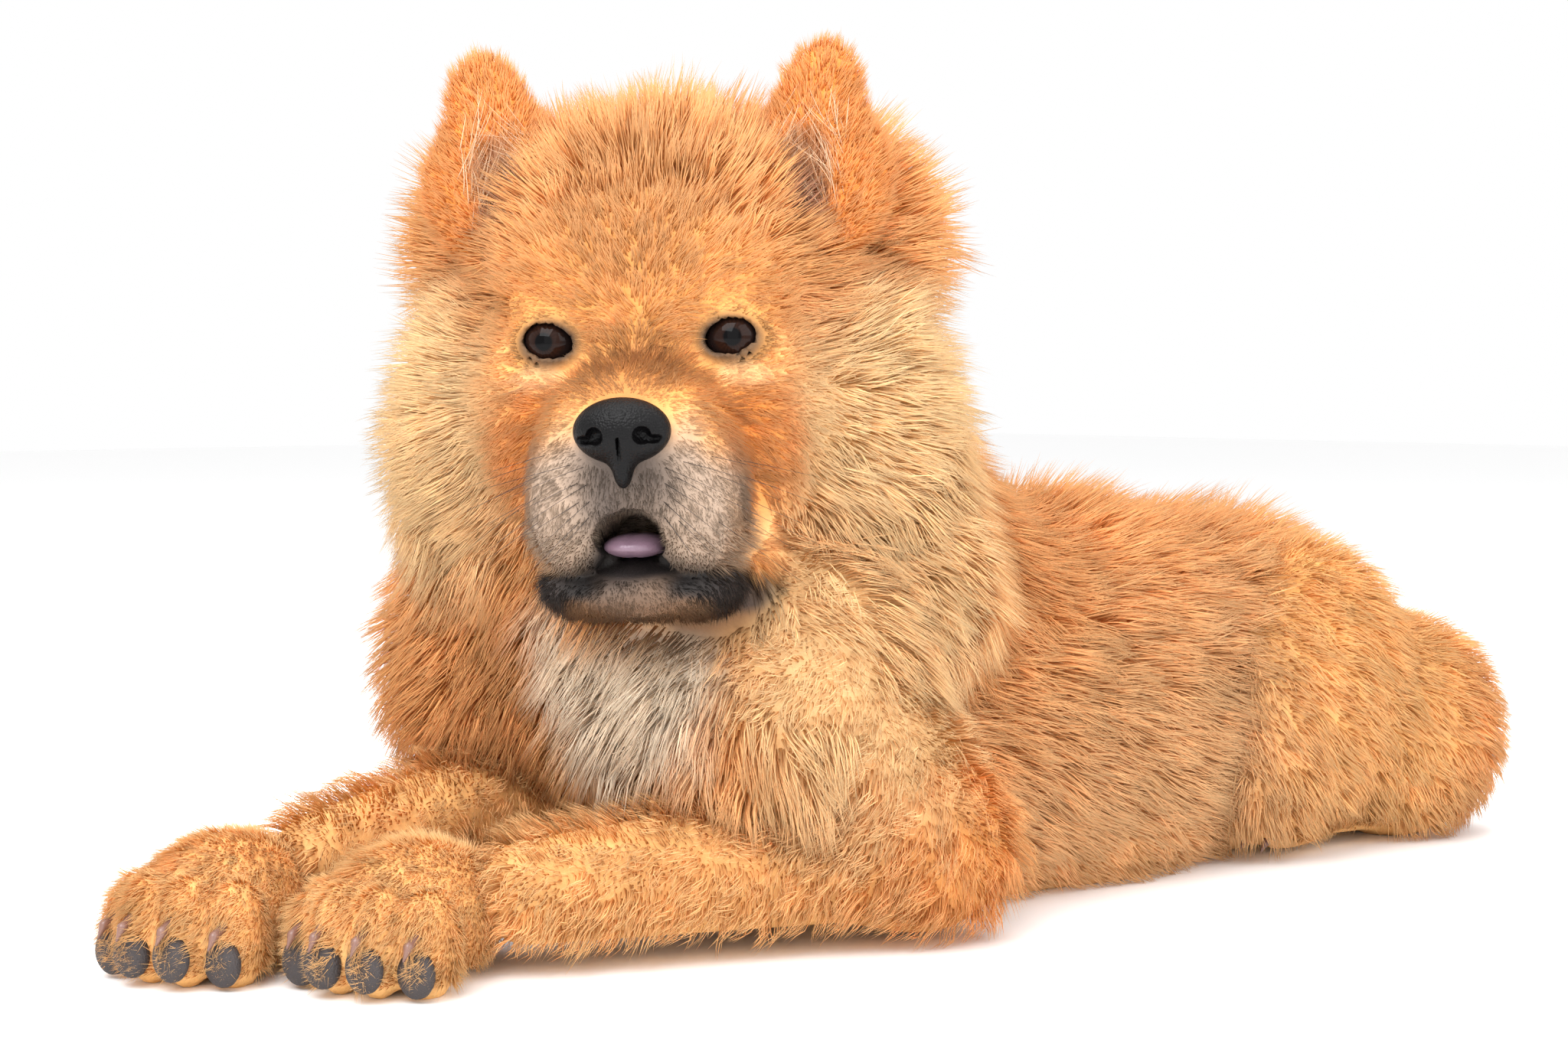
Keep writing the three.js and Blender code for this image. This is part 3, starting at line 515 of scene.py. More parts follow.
BODY_PATCHES = [
    ((0, 150, 40), (110, 190, 84), FLANK, 0.9),
    ((44, 222, 60), (60, 70, 80), THIGH, 0.8),
    ((-44, 222, 60), (60, 70, 80), THIGH, 0.8),
    ((-70, 240, 100), (60, 70, 50), CREAM, 0.6),
    ((0, -150, 20), (120, 150, 62), LEG, 0.9),
    ((86, -60, 120), (56, 60, 84), CREAM, 0.75),
    ((22, -126, 108), (46, 46, 54), WHITE, 0.95),
]
HEAD_PATCHES = [
    ((0, -52, 34), (26, 40, 36), BROWN, 0.4),
    ((84, -10, -40), (48, 76, 56), CREAM, 0.85),
    ((38, -52, -46), (16, 24, 26), ORANGE, 0.8),
    ((35, -50, -21), (11, 14, 5), PALE, 0.22),
    ((0, -74, -65), (50, 44, 33), MUZZLE, 0.95),
    ((0, -62, -22), (17, 30, 17), BROWN, 0.7),
    ((0, -86, -58), (19, 20, 30), CHARCOAL, 0.8),
    # The chin's dark tan, reaching up over the bottoms of the flews as painted shade
    ((0, -62, -99), (52, 40, 21), CHIN_TAN_AND_FLEW_SHADE, 0.85),
    ((27, -66, -87.5), (19, 30, 5.5), BLACK, 0.95),
    ((34, -50, -91), (15, 22, 8), CHARCOAL, 0.9),
    ((0, -58, -79), (21, 20, 15), BLACK, 0.95),
]
RIM_PATCHES = [((30, -47, -9.5), (12.6, 13, 9.2), BLACK, 0.97)]
EAR_PATCHES = [
    ((0, 2, 6), (38, 26, 50), ORANGE, 0.85),
    ((0, -12, -10), (11, 9, 19), PINK, 0.85),
]
PATCH_EDGE = (0.62, 1.2)  # where a patch starts and ends to fade, in its own sizes
PATCH_UNEVEN = {"scale": 9, "amount": 0.10}
HEAD_FADE = 14  # how far past the head's outline its patches reach
COAT_SHADING = {"scale": 4, "amount": 0.06}


def wobble(p, scale):
    """A smooth unevenness from -1 to 1."""
    q = p / scale
    return (
        np.sin(q[:, 0] * 2.1 + 1.7 * np.sin(q[:, 1] * 1.3))
        + np.sin(q[:, 1] * 2.7 + 1.9 * np.sin(q[:, 2] * 1.1))
        + np.sin(q[:, 2] * 2.3 + 1.5 * np.sin(q[:, 0] * 1.7))
    ) / 3


def sizes_from(p, at, size):
    """How far each place lies from an ellipsoid's middle, in its own sizes."""
    return np.linalg.norm((p - np.array(at)) / np.array(size), axis=1)


def painted(colour, p, patches, uneven):
    """A colour with patches laid over it, each with a soft and uneven edge."""
    for at, size, patch, strength in patches:
        k = sizes_from(p, at, size) + PATCH_UNEVEN["amount"] * uneven
        share = strength * (1 - smoothstep(k, *PATCH_EDGE))
        colour = colour + (patch - colour) * share[:, None]
    return colour


def markings(p):
    """The coat's colour at each place on the skin."""
    uneven = wobble(p, PATCH_UNEVEN["scale"])
    gold = np.tile(GOLD, (len(p), 1))
    colour = painted(gold, p, BODY_PATCHES, uneven)
    q = folded(moved_by(HEAD.inverted(), p))
    head = painted(gold, q, HEAD_PATCHES, uneven)
    head = painted(head, q, RIM_PATCHES, 0)
    on_head = 1 - smoothstep(np.minimum(PARTS["head"](p), PARTS["jaw"](p)), 0, HEAD_FADE)
    colour = colour + (head - colour) * on_head[:, None]
    for side in SIDES:
        colour = painted(colour, moved_by(EARS[side].inverted(), p), EAR_PATCHES, uneven)
    return colour * (1 + COAT_SHADING["amount"] * wobble(p, COAT_SHADING["scale"]))[:, None]


# Meshes


def mesh_piece(name, verts, faces, slot, material, colours=None, uvs=None):
    """A smooth piece from places in millimetres and faces of one size. It rides on the animal's body."""
    mesh = bpy.data.meshes.new(name)
    faces = np.asarray(faces)
    size = faces.shape[1]
    mesh.vertices.add(len(verts))
    mesh.vertices.foreach_set("co", (np.asarray(verts) * MM + np.array(SHIFT)).astype(np.float32).ravel())
    mesh.loops.add(faces.size)
    mesh.loops.foreach_set("vertex_index", faces.astype(np.int32).ravel())
    mesh.polygons.add(len(faces))
    mesh.polygons.foreach_set("loop_start", np.arange(0, faces.size, size, dtype=np.int32))
    mesh.update(calc_edges=True)
    mesh.polygons.foreach_set("use_smooth", np.full(len(faces), True))
    if colours is not None:
        layer = mesh.color_attributes.new("markings", "FLOAT_COLOR", "POINT")
        solid = np.concatenate([colours, np.ones((len(verts), 1))], axis=1)
        layer.data.foreach_set("color", solid.astype(np.float32).ravel())
    if uvs is not None:
        layer = mesh.uv_layers.new(name="OFBake")
        layer.data.foreach_set("uv", uvs[faces.ravel()].astype(np.float32).ravel())
    piece = bpy.data.objects.new(name, mesh)
    bpy.context.collection.objects.link(piece)
    mesh.materials.append(material)
    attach(piece, "root")
    return piece


def grown(field, at, reach, step, frame_of):
    """A closed form from a field in its own frame, as places on the animal and faces."""
    axes = [np.arange(c - r, c + r + step, step) for c, r in zip(at, reach)]
    verts, faces = surface(field, axes)
    return moved_by(frame_of, verts), faces


# Coat

# Each kind of coat: strands a square millimetre, their width, rings, rise at root and tip in degrees, reach
# as a share of the room over the skin, least length, distance between clumps, pull to the clump and curl
TRAITS = ("dense", "wide", "rings", "rise", "reach", "least", "clump", "pull", "curl")
COATS = {
    "face": (1.7, 0.5, 1, (34, 12), 0.0, 9, 4, 0.2, 0),
    "ear": (1.9, 0.6, 1, (54, 26), 1.0, 7, 3, 0.1, 0),
    "head": (0.66, 0.82, 2, (66, 34), 1.12, 9, 6, 0.28, 0.5),
    "neck": (0.52, 0.92, 2, (68, 26), 1.15, 12, 7, 0.32, 1.1),
    "torso": (0.42, 0.95, 2, (64, 24), 1.12, 11, 7, 0.3, 0.8),
    "foreleg": (0.55, 0.9, 3, (70, 24), 1.2, 9, 6, 0.42, 1.7),
    "thigh": (0.46, 0.92, 2, (62, 22), 1.15, 10, 7, 0.3, 0.8),
    "tail": (0.46, 1.05, 2, (60, 18), 1.05, 12, 8, 0.3, 0.6),
    "paw": (1.7, 0.6, 1, (46, 16), 1.0, 8.5, 4, 0.1, 0),
}
KINDS = {name: dict(zip(TRAITS, values)) for name, values in COATS.items()}
KIND_OF = {"jaw": "face", "foot": "paw"}
MOST_TRIANGLES = 1.4e6
PIECE_TRIANGLES = 190000
FEWEST_STRANDS = 20
NEAR_FACE = 0.35

# How far the skin lies inside each part, to tell which part a place on the skin belongs to
SKIN_UNDER = {
    **dict.fromkeys(("head", "neck", "torso"), DEPTH["body"]),
    **dict.fromkeys(("foreleg", "thigh", "tail"), DEPTH["leg"]),
    **dict.fromkeys(("paw", "foot", "ear"), DEPTH["paw"]),
    "jaw": 0,
}
COAT_PARTING = (0, -84, -34)  # the place at the nose from which the coat of the head runs back
OPEN_AIR = {"off": 4, "free": 2}  # a root needs this much free room, this far off the skin
FLOOR_CLEAR = {"low": 4, "under": 14, "facing": -0.75}
RIM = {"at": (30, -47, -9), "bare": (10.8, 12, 7.6), "short": 20, "share": 0.4, "fade": (0.5, 1.1)}
LIPS = {"at": (0, -60, -77), "bare": (16, 16, 11)}
NOSE_BARE = 1.5
SNOUT = {"at": (0, -80, -62), "size": (40, 40, 46), "share": 0.36, "fade": (0.75, 1.15)}
STRAND = {"last_ring": 0.86, "taper": 0.75, "twist": 7.0, "flat": 0.5, "root_under": 0.4}
# Along each strand: root and gain paint shade among the strands, darker at the root and lighter towards the
# tip; pale_tip is the share of pale colour at the tip
STRAND_ROOT_SHADE_AND_TIP = {"root": 0.96, "gain": 0.08, "pale_tip": 0.3}

# How much strands differ: from clump to clump and from strand to strand
SPREAD = {"clump_lie": 0.2, "lie": 0.22, "length": 0.14, "phase": 0.4, "tint": 0.06}
STRAND_RANGE = {"length": (0.72, 1.12), "wide": (0.7, 1.2), "curl": (0.6, 1.3), "tint": (0.86, 1.1)}
LOWEST_TIP = 0.15


def lie_of(part, p):
    """The way that the coat runs at each place."""
    q = moved_by(HEAD.inverted(), p)
    if part in ("head", "jaw"):
        away = q - np.array(COAT_PARTING)
        away[:, 1] *= 0.8
        return turned_by(HEAD, unit(away)) + 0.35 * DOWN
    if part == "neck":
        away = unit(q * np.array((1, 0.6, 0.4)))
        return turned_by(HEAD, away) * 0.8 + 1.1 * DOWN
    if part == "torso":
        side = unit(p * np.array((1, 0, 0)))
        return BACK + 0.45 * DOWN + 0.15 * side
    kind, _, side = part.partition("_")
    if kind == "foreleg":
        leg = FORELEG[side]
        return np.tile(unit(np.array(leg["wrist"]) - np.array(leg["elbow"])), (len(p), 1)) + 0.8 * DOWN
    if kind == "thigh":
        return np.tile(0.5 * BACK + DOWN, (len(p), 1))
    if kind == "foot":
        leg = HINDLEG[side]
        return np.tile(unit(np.array(leg["toe"]) - np.array(leg["heel"])), (len(p), 1))
    if kind == "paw":
        r = moved_by(PAWS[side].inverted(), p)
        return turned_by(PAWS[side], unit(r * np.array((0.4, 0, 0)) + np.array((0, -30, -6))))
    if kind == "ear":
        r = moved_by(EARS[side].inverted(), p)
        return turned_by(EARS[side], unit(r * np.array((0.8, 0.3, 0)) + np.array((0, 4, 26))))
    nearest = np.argmin(np.linalg.norm(p[:, None] - TAIL_POINTS[None], axis=2), axis=1)
    ahead = np.minimum(nearest + 1, len(TAIL_POINTS) - 1)
    return unit(TAIL_POINTS[ahead] - TAIL_POINTS[np.maximum(nearest - 1, 0)]) + 0.25 * DOWN


def scattered(verts, triangles, density):
    """Places spread evenly over triangles, so many a square millimetre, with their normals."""
    a, b, c = (verts[triangles[:, i]] for i in range(3))
    cross = np.cross(b - a, c - a)
    area = np.linalg.norm(cross, axis=1) / 2
    wanted = area * density
    count = np.floor(wanted + RNG.random(len(area))).astype(int)
    pick = np.repeat(np.arange(len(area)), count)
    u, v = RNG.random(len(pick)), RNG.random(len(pick))
    flip = u + v > 1
    u, v = np.where(flip, 1 - u, u), np.where(flip, 1 - v, v)
    places = a[pick] + u[:, None] * (b - a)[pick] + v[:, None] * (c - a)[pick]
    return places, unit(cross)[pick]


# The flat pattern: an island for each part, and on it a small patch for each strand
COLUMNS, ROWS = 5, 4
ISLANDS = {name: (i % COLUMNS, i // COLUMNS) for i, name in enumerate(PARTS)}
ISLAND = {"margin": 0.03, "size": 0.92}
PATCH = 0.003


def unwrapped(part, p):
    """A place on the flat pattern for each place on the skin, laid out as a globe for the head and as a
    tube for the other parts."""
    column, row = ISLANDS[part]
    if part in ("head", "jaw"):
        q = unit(moved_by(HEAD.inverted(), p))
        u = np.arctan2(q[:, 0], -q[:, 1]) / (2 * math.pi) + 0.5
        v = np.arcsin(np.clip(q[:, 2], -1, 1)) / math.pi + 0.5
    else:
        low, high = p.min(axis=0), p.max(axis=0)
        middle = (low + high) / 2
        longest = int(np.argmax(high - low))
        first, second = (i for i in range(3) if i != longest)
        round_it = np.arctan2(p[:, first] - middle[first], p[:, second] - middle[second])
        u = round_it / (2 * math.pi) + 0.5
        v = (p[:, longest] - low[longest]) / max(high[longest] - low[longest], 1)
    u = (column + ISLAND["margin"] + ISLAND["size"] * u) / COLUMNS
    v = (row + ISLAND["margin"] + ISLAND["size"] * v) / ROWS
    return np.stack([u, v], axis=1)


def nearest_of(places, centres):
    """For each place, the number of the nearest centre."""
    tree = kdtree.KDTree(len(centres))
    for i, centre in enumerate(centres):
        tree.insert(centre, i)
    tree.balance()
    return np.array([tree.find(p)[1] for p in places])


def strands(root, normal, lie, length, wide, rise, rings, aim, pull, curl, phase):
    """Tapering three-sided strands, as an array of strand, corner and axis, and how far along the strand
    each corner is."""
    side = unit(np.cross(normal, lie))
    first, last = (np.radians(r) * np.ones((len(root), 1)) for r in rise)
    d0 = lie * np.cos(first) + normal * np.sin(first)
    d1 = lie * np.cos(last) + normal * np.sin(last)
    tip = root + length[:, None] * (d0 + d1) / 2
    draw = (aim - tip) * pull
    shares = [i / rings * STRAND["last_ring"] for i in range(rings)] + [1.0]
    corners, along = [], []
    for t in shares:
        at = root + length[:, None] * (d0 * (t - t * t / 2) + d1 * (t * t / 2)) + draw * t**1.5
        turn = phase + STRAND["twist"] * t
        at = at + (side * np.sin(turn)[:, None] + normal * np.cos(turn)[:, None] * 0.5) * curl * t
        if t == 1.0:
            corners.append(at)
            along.append(t)
            continue
        half = wide * 0.5 * (1 - STRAND["taper"] * t)
        for angle in (0, 120, 240):
            a = math.radians(angle)
            out = side * math.cos(a) + normal * math.sin(a) * STRAND["flat"]
            corners.append(at + out * half[:, None])
            along.append(t)
    return np.stack(corners, axis=1), np.array(along)


def strand_faces(rings):
    """The triangles of one strand: its closed root, its sides and its tip."""
    faces = [(2, 1, 0)]
    for r in range(rings - 1):
        for s in range(3):
            a, b = 3 * r + s, 3 * r + (s + 1) % 3
            faces += [(a, b, b + 3), (a, b + 3, a + 3)]
    last = 3 * (rings - 1)
    faces += [(last + s, last + (s + 1) % 3, last + 3) for s in range(3)]
    return np.array(faces)


def strand_pieces(name, corners, along, colours, uvs, rings, slot, material):
    """Strands as pieces, each of few enough triangles."""
    pattern = strand_faces(rings)
    most = int(PIECE_TRIANGLES / len(pattern))
    for i, start in enumerate(range(0, len(corners), most)):
        part = corners[start : start + most]
        n, size = part.shape[:2]
        faces = (pattern[None] + size * np.arange(n)[:, None, None]).reshape(-1, 3)
        base = colours[start : start + most, None]
        tips = (STRAND_ROOT_SHADE_AND_TIP["pale_tip"] * along)[None, :, None]
        # Painted shade: each strand darker near its root, growing lighter towards its tip
        lit = base * (STRAND_ROOT_SHADE_AND_TIP["root"] + STRAND_ROOT_SHADE_AND_TIP["gain"] * along)[None, :, None]
        pale = PALE * base.max(axis=2, keepdims=True)
        shade = (lit * (1 - tips) + pale * tips).reshape(-1, 3)
        spread = np.stack([np.arange(size) % 3 * PATCH / 2, along * PATCH], axis=1)
        patch = (uvs[start : start + most, None] + spread[None]).reshape(-1, 2)
        label = name if len(corners) <= most else f"{name}_{i + 1}"
        mesh_piece(label, part.reshape(-1, 3), faces, slot, material, shade, patch)


def part_nearest(p):
    """The number of the part whose skin each place belongs to."""
    depths = [field(p) + SKIN_UNDER[name.split("_")[0]] for name, field in PARTS.items()]
    return np.argmin(np.stack(depths), axis=0)


def hair_grows(p, normal):
    """Where strands may root: in the open, off the floor, and off eyes, lips and nose."""
    open_air = skin_field(p + normal * OPEN_AIR["off"]) > OPEN_AIR["free"]
    under = (normal[:, 2] < FLOOR_CLEAR["facing"]) & (p[:, 2] < FLOOR_CLEAR["under"])
    off_floor = (p[:, 2] > FLOOR_CLEAR["low"]) & ~under
    q = moved_by(HEAD.inverted(), p)
    bare = sizes_from(folded(q), RIM["at"], RIM["bare"]) < 1
    bare |= sizes_from(q, LIPS["at"], LIPS["bare"]) < 1
    bare |= nose_field(q) < NOSE_BARE
    return open_air & off_floor & ~bare


def grow_coat(verts, quads, material):
    """Strands over the whole skin, each kind on the parts where it grows."""
    triangles = np.concatenate([quads[:, [0, 1, 2]], quads[:, [0, 2, 3]]])
    centre = verts[triangles].mean(axis=1)
    part_of = part_nearest(centre)
    near_face = off_face(centre) < NEAR_FACE
    jobs = []
    for index, part in enumerate(PARTS):
        base = part.split("_")[0]
        kind = KIND_OF.get(base, base)
        for name in (kind, "face") if part == "head" else (kind,):
            chosen = part_of == index
            if part == "head":
                chosen &= near_face if name == "face" else ~near_face
            if chosen.any():
                jobs.append((part, name, triangles[chosen]))
    roots = []
    total = 0
    for part, name, chosen in jobs:
        place, normal = scattered(verts, chosen, KINDS[name]["dense"])
        keep = hair_grows(place, normal)
        roots.append((part, name, place[keep], normal[keep]))
        total += keep.sum() * len(strand_faces(KINDS[name]["rings"]))
    share = min(1, MOST_TRIANGLES / total)
    for part, name, place, normal in roots:
        keep = RNG.random(len(place)) < share
        grow_kind(part, name, place[keep], normal[keep], material)


def shortened(length, root):
    """The head's coat, shorter on the muzzle and round the eyes."""
    q = moved_by(HEAD.inverted(), root)
    snout = sizes_from(q, SNOUT["at"], SNOUT["size"])
    length = length * (SNOUT["share"] + (1 - SNOUT["share"]) * smoothstep(snout, *SNOUT["fade"]))
    rim = sizes_from(folded(q), RIM["at"], RIM["short"])
    return length * (RIM["share"] + (1 - RIM["share"]) * smoothstep(rim, *RIM["fade"]))


def grow_kind(part, name, root, normal, material):
    """The strands of one kind on one part, drawn together into clumps."""
    kind = KINDS[name]
    n = len(root)
    if n < FEWEST_STRANDS:
        return
    normal = unit(0.35 * normal + 0.65 * unit(slopes(whole_normal(part), root, 1.5)))
    lie = lie_of(part, root)
    lie = unit(lie - (lie * normal).sum(1, keepdims=True) * normal)
    clumps = max(4, int(n / kind["dense"] / kind["clump"] ** 2))
    heads = RNG.choice(n, size=min(clumps, n), replace=False)
    mine = nearest_of(root, root[heads])
    loose = RNG.normal(0, 1, (len(heads), 3))
    lie = unit(lie + SPREAD["clump_lie"] * loose[mine] + SPREAD["lie"] * RNG.normal(0, 1, (n, 3)))
    lie = unit(lie - 0.8 * (lie * normal).sum(1, keepdims=True) * normal)
    depth = room_over(part, root)
    rise = [np.full((n, 1), float(r)) for r in kind["rise"]]
    if part == "head":
        long_coat = off_face(root)[:, None]
        ends = zip(KINDS["face"]["rise"], KINDS["head"]["rise"])
        rise = [near * (1 - long_coat) + far * long_coat for near, far in ends]
    share = (np.sin(np.radians(rise[0])) + np.sin(np.radians(rise[1])))[:, 0] / 2
    reach = KINDS["head" if part == "head" else name]["reach"]
    length = np.maximum(kind["least"], depth * reach / share)
    if part in ("head", "jaw"):
        length = shortened(length, root)
    in_clump = (1 + SPREAD["length"] * RNG.normal(0, 1, len(heads)))[mine]
    length = length * in_clump * RNG.uniform(*STRAND_RANGE["length"], n)
    ahead = (np.cos(np.radians(rise[0])) + np.cos(np.radians(rise[1]))) / 2
    tips = root + length[:, None] * (lie * ahead + normal * share[:, None])
    aim = tips[heads][mine] + 0.25 * (root - root[heads][mine])
    phase = RNG.uniform(0, 6.28, len(heads))[mine] + RNG.normal(0, SPREAD["phase"], n)
    wide = kind["wide"] * RNG.uniform(*STRAND_RANGE["wide"], n)
    curl = np.full((n, 1), kind["curl"]) * RNG.uniform(*STRAND_RANGE["curl"], (n, 1))
    under = root - normal * STRAND["root_under"]
    corners, along = strands(
        under, normal, lie, length, wide, rise, kind["rings"], aim, kind["pull"], curl, phase
    )
    corners[..., 2] = np.maximum(corners[..., 2], LOWEST_TIP)
    tint = (1 + SPREAD["tint"] * RNG.normal(0, 1, len(heads)))[mine]
    tint = tint * RNG.uniform(*STRAND_RANGE["tint"], n)
    colours = markings(root) * np.clip(tint, 0.6, 1.3)[:, None]
    slot = "cream_coat" if part in ("neck", "tail") else "mask_coat" if part == "jaw" else "coat"
    label = "coat_" + (part if part != "head" or name == "head" else "face")
    strand_pieces(label, corners, along, colours, unwrapped(part, root), kind["rings"], slot, material)


def whole_normal(part):
    """The smooth form whose facing the coat follows."""
    return whole_field if part in ("head", "neck", "torso") else PARTS[part]


def room_over(part, root):
    """How far the tips of the coat lie over each root."""
    if part in ("head", "neck", "torso"):
        return np.maximum(-whole_field(root), 1)
    return np.maximum(-PARTS[part](root), 1)


# Materials


def group(name, sockets, outputs):
    """A node group with its sockets, its input node and its output node."""
    tree = bpy.data.node_groups.new(name, "ShaderNodeTree")
    for label, kind, value in sockets:
        socket = tree.interface.new_socket(label, in_out="INPUT", socket_type=kind)
        socket.default_value = value
    for label, kind in outputs:
        tree.interface.new_socket(label, in_out="OUTPUT", socket_type=kind)
    return tree, tree.nodes.new("NodeGroupInput"), tree.nodes.new("NodeGroupOutput")


def mottle_group():
    """A colour made a little lighter and darker from place to place."""
    tree, given, out = group(
        "mottle",
        [
            ("Color", "NodeSocketColor", (1, 1, 1, 1)),
            ("Scale", "NodeSocketFloat", 400.0),
            ("Amount", "NodeSocketFloat", 0.25),
        ],
        [("Color", "NodeSocketColor")],
    )
    coords = tree.nodes.new("ShaderNodeTexCoord")
    noise = tree.nodes.new("ShaderNodeTexNoise")
    spread = tree.nodes.new("ShaderNodeMath")
    spread.operation = "MULTIPLY_ADD"
    centre = tree.nodes.new("ShaderNodeMath")
    centre.operation = "SUBTRACT"
    centre.inputs[1].default_value = 0.5
    spread.inputs[2].default_value = 1
    tint = tree.nodes.new("ShaderNodeVectorMath")
    tint.operation = "SCALE"
    tree.links.new(coords.outputs["Object"], noise.inputs["Vector"])
    tree.links.new(given.outputs["Scale"], noise.inputs["Scale"])
    tree.links.new(noise.outputs["Fac"], centre.inputs[0])
    tree.links.new(centre.outputs[0], spread.inputs[0])
    tree.links.new(given.outputs["Amount"], spread.inputs[1])
    tree.links.new(given.outputs["Color"], tint.inputs[0])
    tree.links.new(spread.outputs[0], tint.inputs["Scale"])
    tree.links.new(tint.outputs[0], out.inputs["Color"])
    return tree


MOTTLE = mottle_group()


COAT_ROUGHNESS = 0.12
BUMP_STRENGTH = 0.6


def painted_colour(nodes):
    """The colour painted on the mesh."""
    attribute = nodes.new("ShaderNodeAttribute")
    attribute.attribute_name = "markings"
    return attribute.outputs["Color"]


def raise_surface(nodes, links, shader, scale, height, cells):
    """A bump of a noise or of cells, its height in millimetres."""
    coords = nodes.new("ShaderNodeTexCoord")
    texture = nodes.new("ShaderNodeTexVoronoi" if cells else "ShaderNodeTexNoise")
    texture.inputs["Scale"].default_value = scale
    raised = nodes.new("ShaderNodeBump")
    raised.inputs["Strength"].default_value = BUMP_STRENGTH
    raised.inputs["Distance"].default_value = height * MM
    raised.invert = cells
    links.new(coords.outputs["Object"], texture.inputs["Vector"])
    links.new(texture.outputs["Distance" if cells else "Fac"], raised.inputs["Height"])
    links.new(raised.outputs["Normal"], shader.inputs["Normal"])


def material_of(name, roughness, mottle, colour=None, specular=0.5, bump=None, coat=0, through=None):
    """A mottled material, in a plain colour or in the one painted on the mesh. Bump is a scale, a height
    and whether it is of cells, and through is the share of light that passes."""
    material = bpy.data.materials.new(name)
    material.use_nodes = True
    nodes, links = material.node_tree.nodes, material.node_tree.links
    shader = nodes["Principled BSDF"]
    shader.inputs["Roughness"].default_value = roughness
    shader.inputs["Specular IOR Level"].default_value = specular
    shader.inputs["Coat Weight"].default_value = coat
    shader.inputs["Coat Roughness"].default_value = COAT_ROUGHNESS
    tint = nodes.new("ShaderNodeGroup")
    tint.node_tree = MOTTLE
    tint.inputs["Scale"].default_value, tint.inputs["Amount"].default_value = mottle
    if colour is None:
        links.new(painted_colour(nodes), tint.inputs["Color"])
    else:
        tint.inputs["Color"].default_value = (*colour, 1)
    links.new(tint.outputs["Color"], shader.inputs["Base Color"])
    if through is not None:
        thin = nodes.new("ShaderNodeBsdfTranslucent")
        mix = nodes.new("ShaderNodeMixShader")
        mix.inputs["Fac"].default_value = through
        links.new(tint.outputs["Color"], thin.inputs["Color"])
        links.new(shader.outputs[0], mix.inputs[1])
        links.new(thin.outputs[0], mix.inputs[2])
        links.new(mix.outputs[0], nodes["Material Output"].inputs["Surface"])
    if bump:
        raise_surface(nodes, links, shader, *bump)
    return material


def eye_material():
    """A wet surface in the colours painted on the globe."""
    material = bpy.data.materials.new("eye_wet")
    material.use_nodes = True
    nodes, links = material.node_tree.nodes, material.node_tree.links
    shader = nodes["Principled BSDF"]
    shader.inputs["Roughness"].default_value = 0.05
    shader.inputs["Specular IOR Level"].default_value = 0.11
    links.new(painted_colour(nodes), shader.inputs["Base Color"])
    return material


# Face

# The globe in degrees from its axis: how far the cornea reaches, and where pupil and iris end
GLOBE = {"rows": 48, "cornea": 0.5, "cornea_reach": 34, "slack": 0.4, "pupil": (17, 20), "iris": (30, 46)}
IRIS = tone(34, 18, 11)
IRIS_EDGE = tone(22, 14, 12)
PUPIL = tone(4, 3, 4)
IRIS_RAYS = 23
HAIR_RINGS = 5
WHISKER = {"rows": 4, "long": (22, 38), "wide": 0.45, "sag": -4, "root_under": 1.2}
WHISKER_TONE = tone(48, 40, 38)
WISP = {"count": 150, "inner_share": 0.62, "long": (11, 22), "wide": 0.55}
WISP_TONE = tone(232, 196, 158)


def make_eye(side, material):
    """A globe with a raised cornea, looking ahead, with its iris and pupil painted on."""
    s = SIDES[side]
    rows = columns = GLOBE["rows"]
    polar = np.linspace(0, math.pi, rows)
    round_it = np.linspace(0, 2 * math.pi, columns, endpoint=False)
    a, b = np.meshgrid(polar, round_it, indexing="ij")
    cornea = GLOBE["cornea"] * np.exp(-((np.degrees(a) / GLOBE["cornea_reach"]) ** 2))
    r = EYE_R + cornea - GLOBE["slack"]
    local = np.stack([r * np.sin(a) * np.cos(b), -r * np.cos(a), r * np.sin(a) * np.sin(b)], axis=-1)
    i, j = np.meshgrid(np.arange(rows - 1), np.arange(columns), indexing="ij")

    def corner(di, dj):
        return ((i + di) * columns + (j + dj) % columns).ravel()

    faces = np.stack([corner(0, 0), corner(1, 0), corner(1, 1), corner(0, 1)], axis=1)
    degrees = np.degrees(a).ravel()
    iris = IRIS * (1 + 0.25 * np.sin(b.ravel() * IRIS_RAYS)[:, None])
    edge = smoothstep(degrees, *GLOBE["iris"])[:, None]
    colour = iris * (1 - edge) + IRIS_EDGE * edge
    colour = colour * smoothstep(degrees, *GLOBE["pupil"])[:, None] + PUPIL
    frame_of = HEAD @ moved(*mirrored(EYE_AT, s)) @ turned("Z", EYE_TURN * s)
    verts = moved_by(frame_of, local.reshape(-1, 3))
    piece = mesh_piece("globe_" + side, verts, faces, "eye", material, colour)
    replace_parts(piece, "eye_" + side)


def make_nose(material):
    """The nose leather with its nostrils and the groove between them."""

    def field(p):
        value = nose_field(p)
        for s in SIDES.values():
            for at, size in NOSTRIL:
                value = np.maximum(value, -ball(mirrored(at, s), size)(p))
        groove = np.abs(p[:, 0]) - PHILTRUM["half_wide"]
        behind = np.maximum(p[:, 1] - PHILTRUM["back"], p[:, 2] - PHILTRUM["top"])
        return np.maximum(value, -np.maximum(groove, behind))

    verts, faces = grown(field, (0, -80, -42), (18, 12, 17), 0.7, HEAD)
    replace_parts(mesh_piece("nose_leather", verts, faces, "nose_leather", material), "nose")


def make_tongue(material):
    """The tongue with a furrow along its middle."""

    def field(p):
        furrow = TONGUE["furrow"] * np.exp(-((p[:, 0] / TONGUE["furrow_wide"]) ** 2))
        return ball(TONGUE["at"], TONGUE["size"])(p) + furrow

    verts, faces = grown(field, TONGUE["at"], (12, 20, 6), 1.0, HEAD)
    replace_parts(mesh_piece("tongue_skin", verts, faces, "tongue", material), "tongue")


